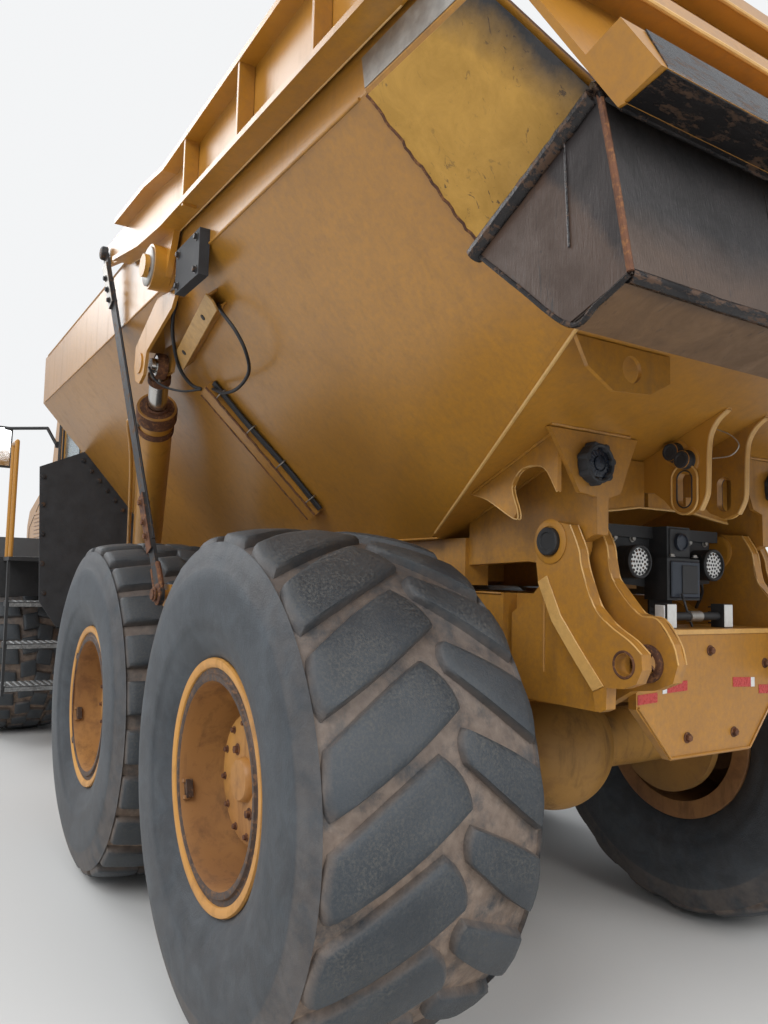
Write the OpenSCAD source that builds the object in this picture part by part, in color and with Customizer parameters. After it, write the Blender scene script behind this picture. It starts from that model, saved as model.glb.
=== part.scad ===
// Six-wheel articulated dump truck, 28 to 30 tonne class, in millimetres.
// X forward, Y to the left, Z up. The origin is on the ground under the middle of the truck.

/* [Wheelbase] */
// Front axle to middle axle
wheelbase = 4180; // [4000:10:4400]
// Middle axle to rear axle
tandem = 1700; // [1680:10:1900]
// Bumper ahead of the front axle
front_overhang = 2510; // [2450:10:2700]
// Tailgate behind the rear axle
rear_overhang = 1560; // [1500:10:1700]

/* [Wheels] */
// Outer diameter of a worn tyre
tyre_d = 1600; // [1500:10:1620]
// Width of a tyre over its side walls
tyre_w = 750; // [700:1:770]
// Diameter over the rim flanges
rim_d = 762; // [740:1:780]
// Width of a rim over its flanges
rim_w = 670; // [640:1:690]
// Left to right distance between wheel centres
track = 2160; // [2120:10:2200]
// Depth of the tread grooves
tread_depth = 34; // [20:1:45]
// Radius of an axle spindle in its hub
spindle_r = 100; // [80:1:120]

/* [Dump body] */
// Width over the body's sides
bin_w = 2800; // [2760:10:2800]
// Width of the flat floor
floor_w = 1050; // [1000:10:1100]
// Underside of the floor above the ground
floor_z = 1600; // [1590:5:1640]
// Fold between the sloped and the upright side
crease_z = 2610; // [2580:10:2640]
// Top of the side rails above the ground
rail_z = 2930; // [2900:10:2940]
// Thickness of the body plates
plate_t = 16; // [10:1:22]
// Rise of the tail floor, as height over length
tail_rise = 0.40; // [0.38:0.01:0.42]
// Front wall ahead of the rear axle
bin_front = 3500; // [3440:10:3510]
// Height of the headboard above the rails
headboard_h = 220; // [100:10:300]

/* [Body hinge] */
// Hinge pin behind the rear axle
hinge_back = 520; // [500:5:540]
// Hinge pin above the ground
hinge_z = 1570; // [1560:5:1580]
// Radius of the hinge pin
hinge_pin_r = 45; // [35:1:55]
// Angle that the body tips through
tip_angle = 70; // [60:1:72]

/* [Rear frame] */
// Width between the outer faces of the frame rails
frame_w = 840; // [820:10:860]
// Width of one rail
rail_w = 110; // [90:5:120]
// Top of the rails above the ground
rail_top = 1400; // [1390:5:1405]
// Depth of a rail
rail_h = 380; // [340:10:400]

/* [Hitch] */
// Steering pivot behind the front axle
hitch_back = 1330; // [1300:10:1360]
// Height of the oscillation axis
hitch_z = 950; // [940:5:980]
// Radius of the oscillation trunnion
trunnion_r = 150; // [130:5:160]

/* [Cab] */
// Width of the cab
cab_w = 1640; // [1600:10:1680]
// Top of the cab roof
roof_z = 3440; // [3400:10:3500]
// Cab floor above the ground
cab_floor_z = 1700; // [1680:10:1720]
// Rear wall of the cab behind the front axle
cab_back = 1200; // [1160:10:1220]
// Front of the cab ahead of the front axle
cab_front = 560; // [540:10:580]
// Thickness of the cab walls
cab_t = 45; // [35:1:55]

/* [Hood] */
// Width of the hood
hood_w = 1500; // [1440:10:1560]
// Top of the hood at the cab
hood_z = 2440; // [2400:10:2480]
// Top of the hood at the nose
nose_z = 2180; // [2140:10:2220]

/* [Hidden] */
fit = 0.1;
seat = 0.3;
run = 8;
len_all = front_overhang + wheelbase + tandem + rear_overhang;
xr = rear_overhang - len_all / 2;
xm = xr + tandem;
xf = xm + wheelbase;
hub_z = tyre_d / 2;
hub_y = track / 2;
$fn = 64;
ochre = "#c8841c";
steel_dark = "#3a3a3c";
black = "#1c1c1e";
rubber = "#2a2c2e";

// Plate in the XZ plane from a list of [x, z] points, centred on y
module plate_y(points, y, t) translate([0, y + t / 2, 0]) rotate([90, 0, 0])
    linear_extrude(t) polygon(points);
// Plate in the YZ plane from a list of [y, z] points, starting at x
module plate_x(points, x, t) translate([x, 0, 0]) rotate([90, 0, 90])
    linear_extrude(t) polygon(points);
// Plate in the XY plane from a list of [x, y] points, starting at z
module plate_z(points, z, t) translate([0, 0, z]) linear_extrude(t) polygon(points);
// Block between two corners
module block(a, b) translate(a) cube(b - a);
// Round bar between two points
module bar(a, b, r) {
    d = b - a;
    l = norm(d);
    translate(a) rotate([0, acos(d[2] / l), atan2(d[1], d[0])]) cylinder(h = l, r = r);
}
// Round bar along Y, between two values of y
module bar_y(x, z, y0, y1, r) translate([x, y0, z]) rotate([-90, 0, 0]) cylinder(h = y1 - y0, r = r);
// Round bar along X
module bar_x(y, z, x0, x1, r) translate([x0, y, z]) rotate([0, 90, 0]) cylinder(h = x1 - x0, r = r);
// The same on both sides
module both() {
    children();
    mirror([0, 1, 0]) children();
}
module at_rear() translate([xr, 0, 0]) children();
module at_mid() translate([xm, 0, 0]) children();
module at_front() translate([xf, 0, 0]) children();
// An open pipe between a list of points, with balls at the bends
module pipe(points, r) {
    for (i = [0 : len(points) - 2]) bar(points[i], points[i + 1], r);
    for (i = [1 : 1 : len(points) - 2]) translate(points[i]) sphere(r = r, $fn = 24);
}

// Dump body: a side profile and a cross-section that cut each other
hinge_x = -hinge_back;
tail_x0 = 100;
bin_y = bin_w / 2;
floor_y = floor_w / 2;
side_run = (bin_y - floor_y) / (crease_z - floor_z);
slant = sqrt(1 + side_run * side_run);
tail_slant = sqrt(1 + tail_rise * tail_rise);
lip_x = 68 - rear_overhang;
gate_lean = 0.514;
gate_x = lip_x + 67;
gate_rib = 115;
gate_z = 2360;
function side_y(z) = floor_y + (z - floor_z) * side_run;
function tail_z(x) = floor_z + (tail_x0 - x) * tail_rise;
function gate_line(z) = gate_x + (z - gate_z) * gate_lean;
// Side profile, with its plates moved in by t
function bin_side(t, top, back) = let (x1 = tail_x0 + t * (tail_slant - 1) / tail_rise, x2 = lip_x + 160 - back)
    [[bin_front - t, floor_z + t], [x1, floor_z + t], [x2, tail_z(x2) + t * tail_slant],
     [gate_line(gate_z) + 25 - back, gate_z], [gate_line(2750) + 45 - back, 2750 + top],
     [-750 - back, rail_z + top], [bin_front + 40 - t, rail_z + top]];
// Cross-section, with its plates moved in by t
function bin_section(t, top) = let (y0 = floor_y - t * (slant - side_run), y1 = bin_y - t)
    [[-y0, floor_z + t], [y0, floor_z + t], [y1, crease_z + t * 0.3],
     [y1, rail_z + top], [-y1, rail_z + top], [-y1, crease_z + t * 0.3]];
module bin_envelope(t, top, back) intersection() {
    plate_y(bin_side(t, top, back), 0, bin_w + 200);
    plate_x(bin_section(t, top), lip_x - 400, bin_front - lip_x + 900);
}
// Spaces beyond the inner face of each plate, a gap g away
far = 5000;
module over_floor(g) block([-far, -far, floor_z + plate_t + g], [far, far, far]);
module over_tail(g) plate_y([for (p = [[tail_x0 + 900, tail_x0 + 900], [-far, -far]]) [p[0], tail_z(p[1]) + plate_t * tail_slant + g],
    [-far, far], [far, far], [far, tail_z(tail_x0 + 900) + plate_t * tail_slant + g]], 0, far);
module behind_front(g) block([-far, -far, 0], [bin_front - plate_t - g, far, far]);
module over_crease(g) block([-far, -far, crease_z + plate_t * 0.3 + g], [far, far, far]);
// Plates that lie a seat apart: floor, tail, front wall, slopes and upright sides
module bin() color(ochre) at_rear() {
    difference() {
        bin_envelope(0, 0, 0);
        over_floor(0);
    }
    difference() {
        bin_envelope(0, 0, 0);
        over_tail(0);
        block([-far, -far, 0], [far, far, floor_z + plate_t + seat]);
    }
    difference() {
        bin_envelope(0, 0, 0);
        behind_front(0);
        block([-far, -far, 0], [far, far, floor_z + plate_t + seat]);
    }
    difference() {
        intersection() {
            bin_envelope(0, 0, 0);
            over_floor(seat);
            over_tail(seat);
            behind_front(seat);
        }
        over_crease(0);
        bin_envelope(plate_t, 300, 400);
    }
    difference() {
        intersection() {
            bin_envelope(0, 0, 0);
            behind_front(seat);
            over_crease(seat);
        }
        bin_envelope(plate_t, 300, 400);
    }
    // headboard with its sloped spill guard
    plate_x([[-bin_y, rail_z + seat], [bin_y, rail_z + seat], [bin_y - 260, rail_z + headboard_h],
        [260 - bin_y, rail_z + headboard_h]], bin_front + 40 - plate_t, plate_t);
}

// Wear beam along the tail of the floor
lip_points = [[lip_x + 432, 2155], [lip_x + 74, 2350], [lip_x, 1975], [lip_x + 153, 1919]];
module tail_lip() color("#4a3a2c") at_rear() difference() {
    plate_y(lip_points, 0, 2500);
    bin_envelope(-seat, 0, 0);
    plate_y([[lip_x + 500, 2080], [lip_x + 160, 2080], [lip_x + 90, 2380], [lip_x + 500, 2380]], 0, 2 * 1100);
}

// Sills, hinge ears, gate pivots and hoist brackets under and on the body
pivot = [716, 2653];
pivot_r = 45;
ear_y = 430;
ear_t = 44;
hoist_eye = [1130, 1300, 2368];
hoist_eye_w = 56;
sill_z = rail_top + 25;
ear_back = hinge_x - 138;
ear_front = hinge_x + 480;
ear_r = 92;
function under_tail(x) = tail_z(x) - seat * tail_slant;
module hinge_ear() difference() {
    union() {
        plate_y([[hinge_x - ear_r, hinge_z], [hinge_x - 40, hinge_z - ear_r + 12], [hinge_x + 60, hinge_z - ear_r + 20],
            [hinge_x + 160, hinge_z - 60], [ear_front, hinge_z - 70], [ear_front, under_tail(ear_front)],
            [ear_back, under_tail(ear_back)], [ear_back, hinge_z + 20]], ear_y, ear_t);
        bar_y(hinge_x, hinge_z, ear_y - ear_t / 2, ear_y + ear_t / 2, ear_r);
    }
    bar_y(hinge_x, hinge_z, ear_y - 60, ear_y + 60, hinge_pin_r + fit);
}
// Tail structure: side plates with arches, lamp plates, lugs, a cross plate and gussets
box_y = 600;
lug_y = 100;
lamp_x = ear_back - 16 - seat;
lamp_spot = [480, 1805];
lamp_r = 62;
cross_x = hinge_x - 40;
gusset_x = -1030;
module tail_side() plate_y([[ear_back, under_tail(ear_back)], [-238, under_tail(-238)], [-328, 1713], [-462, 1642], [-478, 1659],
    [-450, 1740], [-480, 1790], [-533, 1805], [-602, 1790], [-655, 1714], [ear_back, 1714]], box_y, 16);
module lamp_plate() plate_x([[270, under_tail(lamp_x + 16)], [660, under_tail(lamp_x + 16)], [640, 1885], [530, 1716],
    [ear_y + 26, 1706], [ear_y + 24, hinge_z + 20], [ear_y - 24, hinge_z + 20], [ear_y - 26, 1706], [350, 1722], [300, 1840]],
    lamp_x, 16);
// Round lamps on the lamp plates: a housing ring and its lens
module body_lamps() color("#5a2a26") at_rear() both() {
    difference() {
        bar_x(lamp_spot[0], lamp_spot[1], lamp_x - seat - 40, lamp_x - seat, lamp_r);
        bar_x(lamp_spot[0], lamp_spot[1], lamp_x - 60, lamp_x - 26, lamp_r - 8);
    }
    bar_x(lamp_spot[0], lamp_spot[1], lamp_x - 34, lamp_x - 26 - seat, lamp_r - 8 - seat);
}
// Lug with an oblong hole in a raised ring, and two round pins
module tail_lug() {
    difference() {
        union() {
            plate_y([[-450, under_tail(-450)], [-450, 1712], [-500, 1742], [-550, 1756], [-610, 1750], [-650, 1722], [-680, 1690],
                [-736, 1668], [-786, 1684], [-812, 1740], [-816, 1860], [-824, 1920], [-850, 1962], [-895, under_tail(-895)]], lug_y, 20);
            for (z = [-32, 32]) bar_y(-736, 1752 + z, lug_y - 5, lug_y + 18, 50);
            block([-785, lug_y - 5, 1720], [-687, lug_y + 18, 1784]);
        }
        for (z = [-32, 32]) bar_y(-736, 1752 + z, lug_y - 50, lug_y + 50, 27);
        block([-762.5, lug_y - 50, 1720], [-709.5, lug_y + 50, 1784]);
    }
    for (p = [[-700, 1876], [-744, 1846]]) bar_y(p[0], p[1], lug_y + 9, lug_y + 44, 30);
}
// Arched plate across the middle, in one piece between the lugs and one outside each
module cross_plate() difference() {
    plate_x([[-350, 1672], [-250, 1684], [-140, 1700], [140, 1700], [250, 1684], [350, 1672],
        [350, under_tail(cross_x + 8)], [-350, under_tail(cross_x + 8)]], cross_x - 8, 16);
    for (s = [-1, 1]) block([cross_x - 50, s * lug_y - 10 - seat, 1600], [cross_x + 50, s * lug_y + 10 + seat, 2000]);
}
module tail_gusset() difference() {
    plate_x([[560, 1975], [640, 1935], [780, 1925], [870, 1975], [912, under_tail(gusset_x + 12)],
        [560, under_tail(gusset_x + 12)]], gusset_x, 12);
    bar_x(710, 1990, gusset_x - 50, gusset_x + 50, 36);
}
// Doubler on the rear of the side, outside the sloped and the upright plate
module side_doubler() difference() {
    intersection() {
        bin_envelope(-9, 0, -40);
        plate_y([[-800, crease_z + 90], [-905, 2240], [-1005, 2204], [-1325, 2352], [-1380, 2380], [-1290, 2540],
            [-1210, crease_z + 90]], 0, 4000);
    }
    bin_envelope(-seat, 100, 100);
    block([-far, -far, 0], [far, 0, far]);
}
// Pipe channel that leans across the sloped side
module side_channel() translate([895, side_y(2010), 2010]) rotate([-atan(side_run), 0, 0]) rotate([0, 13, 0])
    translate([-45, seat, -370]) cube([90, 45, 740]);
module body_frame() color(ochre) at_rear() {
    cross_plate();
    both() {
        hinge_ear();
        tail_side();
        lamp_plate();
        tail_lug();
        tail_gusset();
        side_doubler();
        side_channel();
        block([ear_front + seat, ear_y - 70, sill_z], [bin_front - 120, ear_y + 40, floor_z - seat]);
        // gate pivot
        bar_y(pivot[0], pivot[1], bin_y + seat, bin_y + 13, 85);
        bar_y(pivot[0], pivot[1], bin_y + 5, bin_y + 112, pivot_r);
        // hoist bracket: an outer and an inner plate and the web that joins them to the side
        difference() {
            union() {
                plate_y([[640, 2560], [900, 2600], [hoist_eye[0] + 80, 2460], [hoist_eye[0] + 92, 2368], [hoist_eye[0] + 60, 2300],
                    [hoist_eye[0], 2276], [hoist_eye[0] - 64, 2304], [hoist_eye[0] - 96, 2400], [700, 2500]], bin_y - 15, 14);
                plate_y([[640, 2560], [900, 2600], [hoist_eye[0] + 80, 2460], [hoist_eye[0] + 72, 2444], [895, 2582], [646, 2542]],
                    bin_y - 108, 200);
                plate_y([[hoist_eye[0] - 70, hoist_eye[2] - 34], [hoist_eye[0] + 18, hoist_eye[2] - 34],
                    [hoist_eye[0] + 52, hoist_eye[2] + 12], [hoist_eye[0] + 60, hoist_eye[2] + 110],
                    [hoist_eye[0] - 110, hoist_eye[2] + 110]], hoist_eye[1] - hoist_eye_w / 2 - seat - 8, 16);
                bar_y(hoist_eye[0], hoist_eye[2], bin_y - 10, bin_y - 2, 45);
            }
            bin_envelope(-seat, 0, 0);
            block([500, bin_y - 1, 2000], [1500, bin_y + 300, 2700]);
        }
    }
    // cross beams under the floor
    for (x = [700, 1700, 2700]) block([x, -ear_y + 71, sill_z + 20], [x + 120, ear_y - 71, floor_z - seat]);
}

// Mud flaps in front of the middle wheels, and a rubber block under each arm
module mudguards() color(black) at_rear() both() {
    plate_x([[side_y(1784) + seat * slant, 1784], [side_y(2290) + seat * slant, 2290], [1411, 2158], [1365, 1243],
        [1254, 1080], [820, 1080], [side_y(1784) + seat * slant, 1400]], bin_front - 50, 12);
    block([260, bin_y + seat, 2490], [520, bin_y + 38, 2660]);
}

// Tailgate with its two arms
arm_y0 = bin_y + 15;
arm_w = 80;
arm_tip = [1620, 3020];
module gate_arm() difference() {
    union() {
        plate_y([[arm_tip[0] + 60, 3075], [arm_tip[0] + 40, 2975], [880, 2800], [800, 2610], [716, 2565], [640, 2600],
            [560, 2760], [-1010, 2715], [gate_line(2715) - 30, 2640], [gate_line(2640) - 70, 2640],
            [gate_line(3040) - 70, 3040], [560, 3000], [820, 3040]], arm_y0 + 12, 24);
        for (z = [0, 1]) plate_y(z == 0
            ? [[1300, 2890], [880, 2810], [560, 2778], [-1000, 2735], [-1000, 2715], [560, 2758], [880, 2790], [1300, 2870]]
            : [[1300, 3065], [820, 3040], [560, 3000], [gate_line(3040), 3040], [gate_line(3020), 3020], [560, 2980],
               [820, 3020], [1300, 3045]], arm_y0 + arm_w / 2, arm_w);
        bar_y(pivot[0], pivot[1], arm_y0, arm_y0 + 70, 88);
    }
    bar_y(pivot[0], pivot[1], bin_y, bin_y + 200, pivot_r + fit);
}
module tailgate() color(ochre) at_rear() {
    both() gate_arm();
    // leaning panel and its stiff frame
    intersection() {
        union() {
            plate_y([[gate_line(2300), 2300], [gate_line(3060), 3060], [gate_line(3060) - 18, 3060], [gate_line(2300) - 18, 2300]],
                0, 2 * bin_y);
            plate_y([[gate_line(2300), 2300], [gate_line(2400), 2400], [gate_line(2420) - gate_rib, 2420], [-rear_overhang, 2320]],
                0, 2 * bin_y);
            plate_y([[gate_line(2640), 2640], [gate_line(2720), 2720], [gate_line(2720) - 90, 2720], [gate_line(2640) - 90, 2640]],
                0, 2 * (arm_y0 + arm_w));
            plate_y([[gate_line(2950), 2950], [gate_line(3060), 3060], [gate_line(3060) - 90, 3060], [gate_line(2950) - 90, 2950]],
                0, 2 * (arm_y0 + arm_w));
        }
        plate_x([[-1240, 2290], [1240, 2290], [1240 + 120, 2560], [arm_y0 + arm_w, 2600], [arm_y0 + arm_w, 3070],
            [-arm_y0 - arm_w, 3070], [-arm_y0 - arm_w, 2600], [-1360, 2560]], -rear_overhang - 200, 900);
    }
}

// Straps that hold the arms down as the body tips
strap_foot = [850, 1340, 1357];
strap_head = [arm_tip[0], arm_y0 + 40, arm_tip[1]];
module strap() {
    d = strap_head - strap_foot;
    l = norm(d);
    lean = [-asin(d[1] / l), atan2(d[0], d[2]), 0];
    difference() {
        union() {
            bar_y(strap_foot[0], strap_foot[2], strap_foot[1] - 8, strap_foot[1] + 8, 45);
            translate(strap_foot) rotate(lean) translate([-30, -7, 0]) cube([60, 14, 240]);
        }
        bar_y(strap_foot[0], strap_foot[2], strap_foot[1] - 60, strap_foot[1] + 60, 20 + fit);
    }
    translate(strap_foot) rotate(lean) {
        translate([-35, -6, 239]) cube([70, 12, l - 438]);
        translate([-30, 6, 200]) cube([60, 8, 260]);
        translate([-30, 6, l - 330]) cube([60, 8, 250]);
        translate([-30, -6, l - 200]) cube([60, 12, 180]);
    }
    bar_y(strap_head[0], strap_head[2], strap_head[1] - 6, strap_head[1] + 18, 34);
}
module straps() color(black) at_rear() both() strap();

// Rear frame
rail_y = frame_w / 2 - rail_w / 2;
rail_in = rail_y - rail_w / 2;
rail_out = rail_y + rail_w / 2;
tow_pin = [-818, 1208];
hoist_foot = [3300, 720, 950];
ball_r = 52;
cheek_t = 40;
cheek_in = ear_y - 52;
cheek_out = ear_y + 52;
// Outlines of the curved cheeks that carry the hinge above and the tow pin below
outer_cheek = [[-535, 1636], [-604, 1620], [-641, 1545], [-654, 1485], [-702, 1373], [-763, 1317], [-836, 1277], [-881, 1242],
    [-884, 1199], [-863, 1158], [-814, 1139], [-755, 1135], [-752, 1072], [-729, 1061], [-710, 1066], [-702, 1117],
    [-606, 1225], [-528, 1317], [-464, 1441], [-452, 1520], [-452, 1600]];
inner_cheek = [[-452, 1600], [-535, 1636], [-620, 1628], [-660, 1560], [-681, 1457], [-779, 1353], [-851, 1338], [-905, 1270],
    [-922, 1213], [-905, 1160], [-843, 1133], [-755, 1120], [-620, 1040], [-560, 1040], [-220, 1040], [-220, 1330],
    [-330, 1400], [-440, 1500]];
module cheek(points, y) difference() {
    plate_y(points, y, cheek_t);
    bar_y(hinge_x, hinge_z, y - 60, y + 60, hinge_pin_r + fit);
    bar_y(tow_pin[0], tow_pin[1], y - 60, y + 60, 32);
}
// Lengths of the rail, each a convex plate: from x, to x, heights below and above at each end
rail_parts = [[-200, 2700, rail_top - rail_h, rail_top, rail_top - rail_h, rail_top],
    [2700, 3050, rail_top - rail_h, rail_top, 760, 1180], [3050, 3500, 760, 1180, 760, 1180]];
module rear_frame() color(ochre) at_rear() {
    both() {
        for (p = rail_parts) plate_y([[p[0] + seat, p[2]], [p[1], p[4]], [p[1], p[5]], [p[0] + seat, p[3]]], rail_y, rail_w);
        // narrow end of the rail, beside the inner cheek
        plate_y([[-560, 1040], [-200, rail_top - rail_h], [-200, rail_top], [-330, rail_top], [-560, 1290]],
            (rail_in + cheek_in - cheek_t / 2 - seat) / 2, cheek_in - cheek_t / 2 - seat - rail_in);
        cheek(outer_cheek, cheek_out);
        cheek(inner_cheek, cheek_in);
        // block between the cheeks, bright flange on the outer one, pin and its cap
        plate_y([[-760, 1160], [-700, 1150], [-560, 1240], [-560, 1300], [-660, 1340], [-760, 1280]], ear_y,
            cheek_out - cheek_in - cheek_t - 2 * seat);
        bar_y(hinge_x, hinge_z, cheek_in - cheek_t / 2, cheek_out + cheek_t / 2 + 12, hinge_pin_r);
        // outrigger for the strap
        block([strap_foot[0] - 50, rail_out + seat, strap_foot[2] - 50],
            [strap_foot[0] + 50, strap_foot[1] - 30, strap_foot[2] + 40]);
        bar_y(strap_foot[0], strap_foot[2], strap_foot[1] - 30 + seat, strap_foot[1] + 22, 20);
        // outrigger for the hoist cylinder
        block([hoist_foot[0] - 110, rail_out + seat, hoist_foot[2] - 90],
            [hoist_foot[0] + 110, hoist_foot[1] - 82, hoist_foot[2] + 90]);
        bar_y(hoist_foot[0], hoist_foot[2], hoist_foot[1] - 82 + seat, hoist_foot[1] + 60, 28);
        translate(hoist_foot) sphere(r = ball_r);
        // hanger of the tandem beam
        plate_y([[tandem / 2 - 220, rail_top - rail_h - seat], [tandem / 2 + 220, rail_top - rail_h - seat],
            [tandem / 2 + 90, tandem_z - 90], [tandem / 2 - 90, tandem_z - 90]], rail_y, rail_w);
        // body rests
        for (x = [300, 2300]) block([x, rail_y - 40, rail_top + seat], [x + 200, rail_y + 40, sill_z - run]);
    }
    // tail plate and ledge
    y_in = cheek_in - cheek_t / 2 - seat;
    plate_x([[-y_in, 1300], [y_in, 1300], [y_in, 1060], [203, 896], [-203, 896], [-y_in, 1060]], -740, 30);
    block([-710 + seat, -y_in, 1262], [-560 - seat, y_in, 1300]);
    // cross members, and the plates that hold the oscillation tube: from x, to x, bottom, top
    for (p = [[-560, -500, 1050, 1300],[760, 940, 1100, 1300], [2560, 2680, 1060, 1380]])
        block([p[0], seat - rail_in, p[2]], [p[1], rail_in - seat, p[3]]);
    for (p = [[3060, 3120, 780, 1160], [3400, 3480, 800, 1120]]) difference() {
        block([p[0], seat - rail_in, p[2]], [p[1], rail_in - seat, p[3]]);
        bar_x(0, hitch_z, 3000, 3700, trunnion_r + 70 + seat);
    }
    difference() {
        bar_x(0, hitch_z, 3050, 3560, trunnion_r + 70);
        bar_x(0, hitch_z, 3000, 3700, trunnion_r + fit);
    }
}

// Axles
module axle() {
    both() {
        bar_y(0, hub_z, 0, hub_y - rim_w / 2 - 20, 120);
        bar_y(0, hub_z, hub_y - rim_w / 2 - 60, hub_y - rim_w / 2 - 20, 260);
        bar_y(0, hub_z, hub_y - rim_w / 2 - 30, hub_y + 60, spindle_r);
    }
    translate([0, 0, hub_z]) sphere(r = 250);
}
module mid_axle() color(ochre) at_mid() axle();
module rear_axle() color(ochre) at_rear() axle();
// The front axle holds the frame up on two rubber springs
module front_axle() color(ochre) at_front() {
    axle();
    both() {
        block([-150, 340, hub_z - 60], [150, 480, hub_z + 130]);
        translate([0, 430, hub_z + 120]) cylinder(h = 1020 - seat - hub_z - 120, r = 75);
    }
}
beam_y = 620;
tandem_z = 780;
module tandem_beams() color(steel_dark) at_rear() both() {
    difference() {
        plate_y([[-180, 1100], [180, 1100], [420, 900], [tandem - 420, 900], [tandem - 180, 1100], [tandem + 180, 1100],
            [tandem + 180, 960], [tandem - 300, 660], [300, 660], [-180, 960]], beam_y, 120);
        for (x = [0, tandem]) bar_y(x, hub_z, beam_y - 100, beam_y + 100, 120 + seat);
    }
    bar_y(tandem / 2, tandem_z, frame_w / 2 + seat, beam_y - 59, 70);
}
module drive_shafts() color(steel_dark) {
    bar_x(0, hub_z, xr + 250 + seat, xm - 250 - seat, 55);
    bar([xm + 250 + seat, 0, hub_z], [xr + 3000, 0, hub_z + 60], 55);
}
module tail_lights() color(black) at_rear() {
    both() {
        bar_x(195, 1515, -600, -545, 55);
        block([-705, 125, 1300 + seat], [-655, 170, 1380]);
    }
    block([-640, -85, 1390], [-545, 85, 1530]);
    block([-620, -60, 1530], [-520, 60, 1640]);
    block([-560, -300, 1600], [-520, 300, 1640]);
    // bracket that stands on the ledge
    plate_x([[-60, 1300 + seat], [60, 1300 + seat], [60, 1430], [270, 1450], [270, 1610], [-270, 1610], [-270, 1450],
        [-60, 1430]], -546, 8);
}

// Steering knuckle between the two frames
hitch_x = xf - hitch_back;
module hitch_knuckle() color(ochre) {
    bar_x(0, hitch_z, xr + 3070, hitch_x - 200, trunnion_r);
    bar_x(0, hitch_z, xr + 3570, xr + 3600, trunnion_r + 60);
    difference() {
        union() {
            plate_z([[hitch_x - 290, -200], [hitch_x - 290, 200], [hitch_x + 60, 120], [hitch_x + 60, -120]], hitch_z + 130, 70);
            plate_z([[hitch_x - 290, -200], [hitch_x - 290, 200], [hitch_x + 60, 120], [hitch_x + 60, -120]], hitch_z - 200, 70);
            block([hitch_x - 290, -200, hitch_z - 200], [hitch_x - 190, 200, hitch_z + 200]);
            // ears under the steering rods
            plate_z([[hitch_x - 290, -200], [hitch_x - 200, -370], [hitch_x - 60, -370], [hitch_x - 60, -120],
                [hitch_x - 60, 120], [hitch_x - 60, 370], [hitch_x - 200, 370], [hitch_x - 290, 200]],
                steer_eye[2] - steer_eye_w / 2 - seat - 35, 35);
            for (z = [-200, 130]) translate([hitch_x, 0, hitch_z + z]) cylinder(h = 70, r = 120);
        }
        translate([hitch_x, 0, hitch_z - 400]) cylinder(h = 900, r = 60 + fit);
    }
}
module front_frame() color(ochre) {
    difference() {
        union() {
            translate([hitch_x, 0, hitch_z - 115]) cylinder(h = 230, r = 125);
            block([hitch_x + 60, -125, hitch_z - 115], [hitch_x + 300, 125, hitch_z + 115]);
        }
        translate([hitch_x, 0, hitch_z - 400]) cylinder(h = 900, r = 60 - 1);
    }
    translate([hitch_x, 0, hitch_z - 210]) cylinder(h = 420, r = 60);
    block([hitch_x + 290, -390, hitch_z - 160], [hitch_x + 360, 390, hitch_z + 160]);
    both() at_front() {
        plate_y([[-980, 1110], [2380, 1110], [2380, 900], [500, 860], [260, 1020], [-260, 1020], [-500, 860], [-980, 790]],
            350, 80);
        block([-140, 390, 1020], [140, 470, 1180]);
    }
    both() {
        block([steer_foot[0] - 70, steer_foot[1] - 60, 1075], [steer_foot[0] + 70, 350, 1110]);
        translate([steer_foot[0], steer_foot[1], 1100]) cylinder(h = steer_foot[2] + 40 - 1100, r = steer_pin_r);
    }
    at_front() {
        block([1900, -350, 900], [1990, 350, 1100]);
        // beam under the hood
        block([2210, -735, 1110], [2290, 735, 1240 - seat]);
        // cab mounts
        for (x = [-700, 400]) {
            block([x - 60, -720, 1610], [x + 60, 720, cab_floor_z - seat]);
            both() block([x - 60, 348, 1100], [x + 60, 390, 1620]);
        }
        // hood hinges: a lug with a pin on each side
        both() {
            plate_y([[2280, 1160], [2335, 1217.5], [2340, 1273], [2280, 1239]], 700, 20);
            bar_y(hood_hinge[0], hood_hinge[1], 690, 710, 28);
            bar_y(hood_hinge[0], hood_hinge[1], 709, hood_w / 2, 16);
        }
    }
}
hood_hinge = [2340, 1245];
module bumper() color(steel_dark) at_front() {
    plate_z([[2384, -1150], [2384, 1150], [2430, 1150], [front_overhang, 950], [front_overhang, -950], [2430, -1150]], 660, 240);
    plate_z([[2380 + seat, -900], [2380 + seat, 900], [2470, 900], [2470, -900]], 899, 261);
}
module engine_block() color("#8a8a86") at_front() block([700, -380, 1110 + seat], [1900, 380, 1980]);

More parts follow.
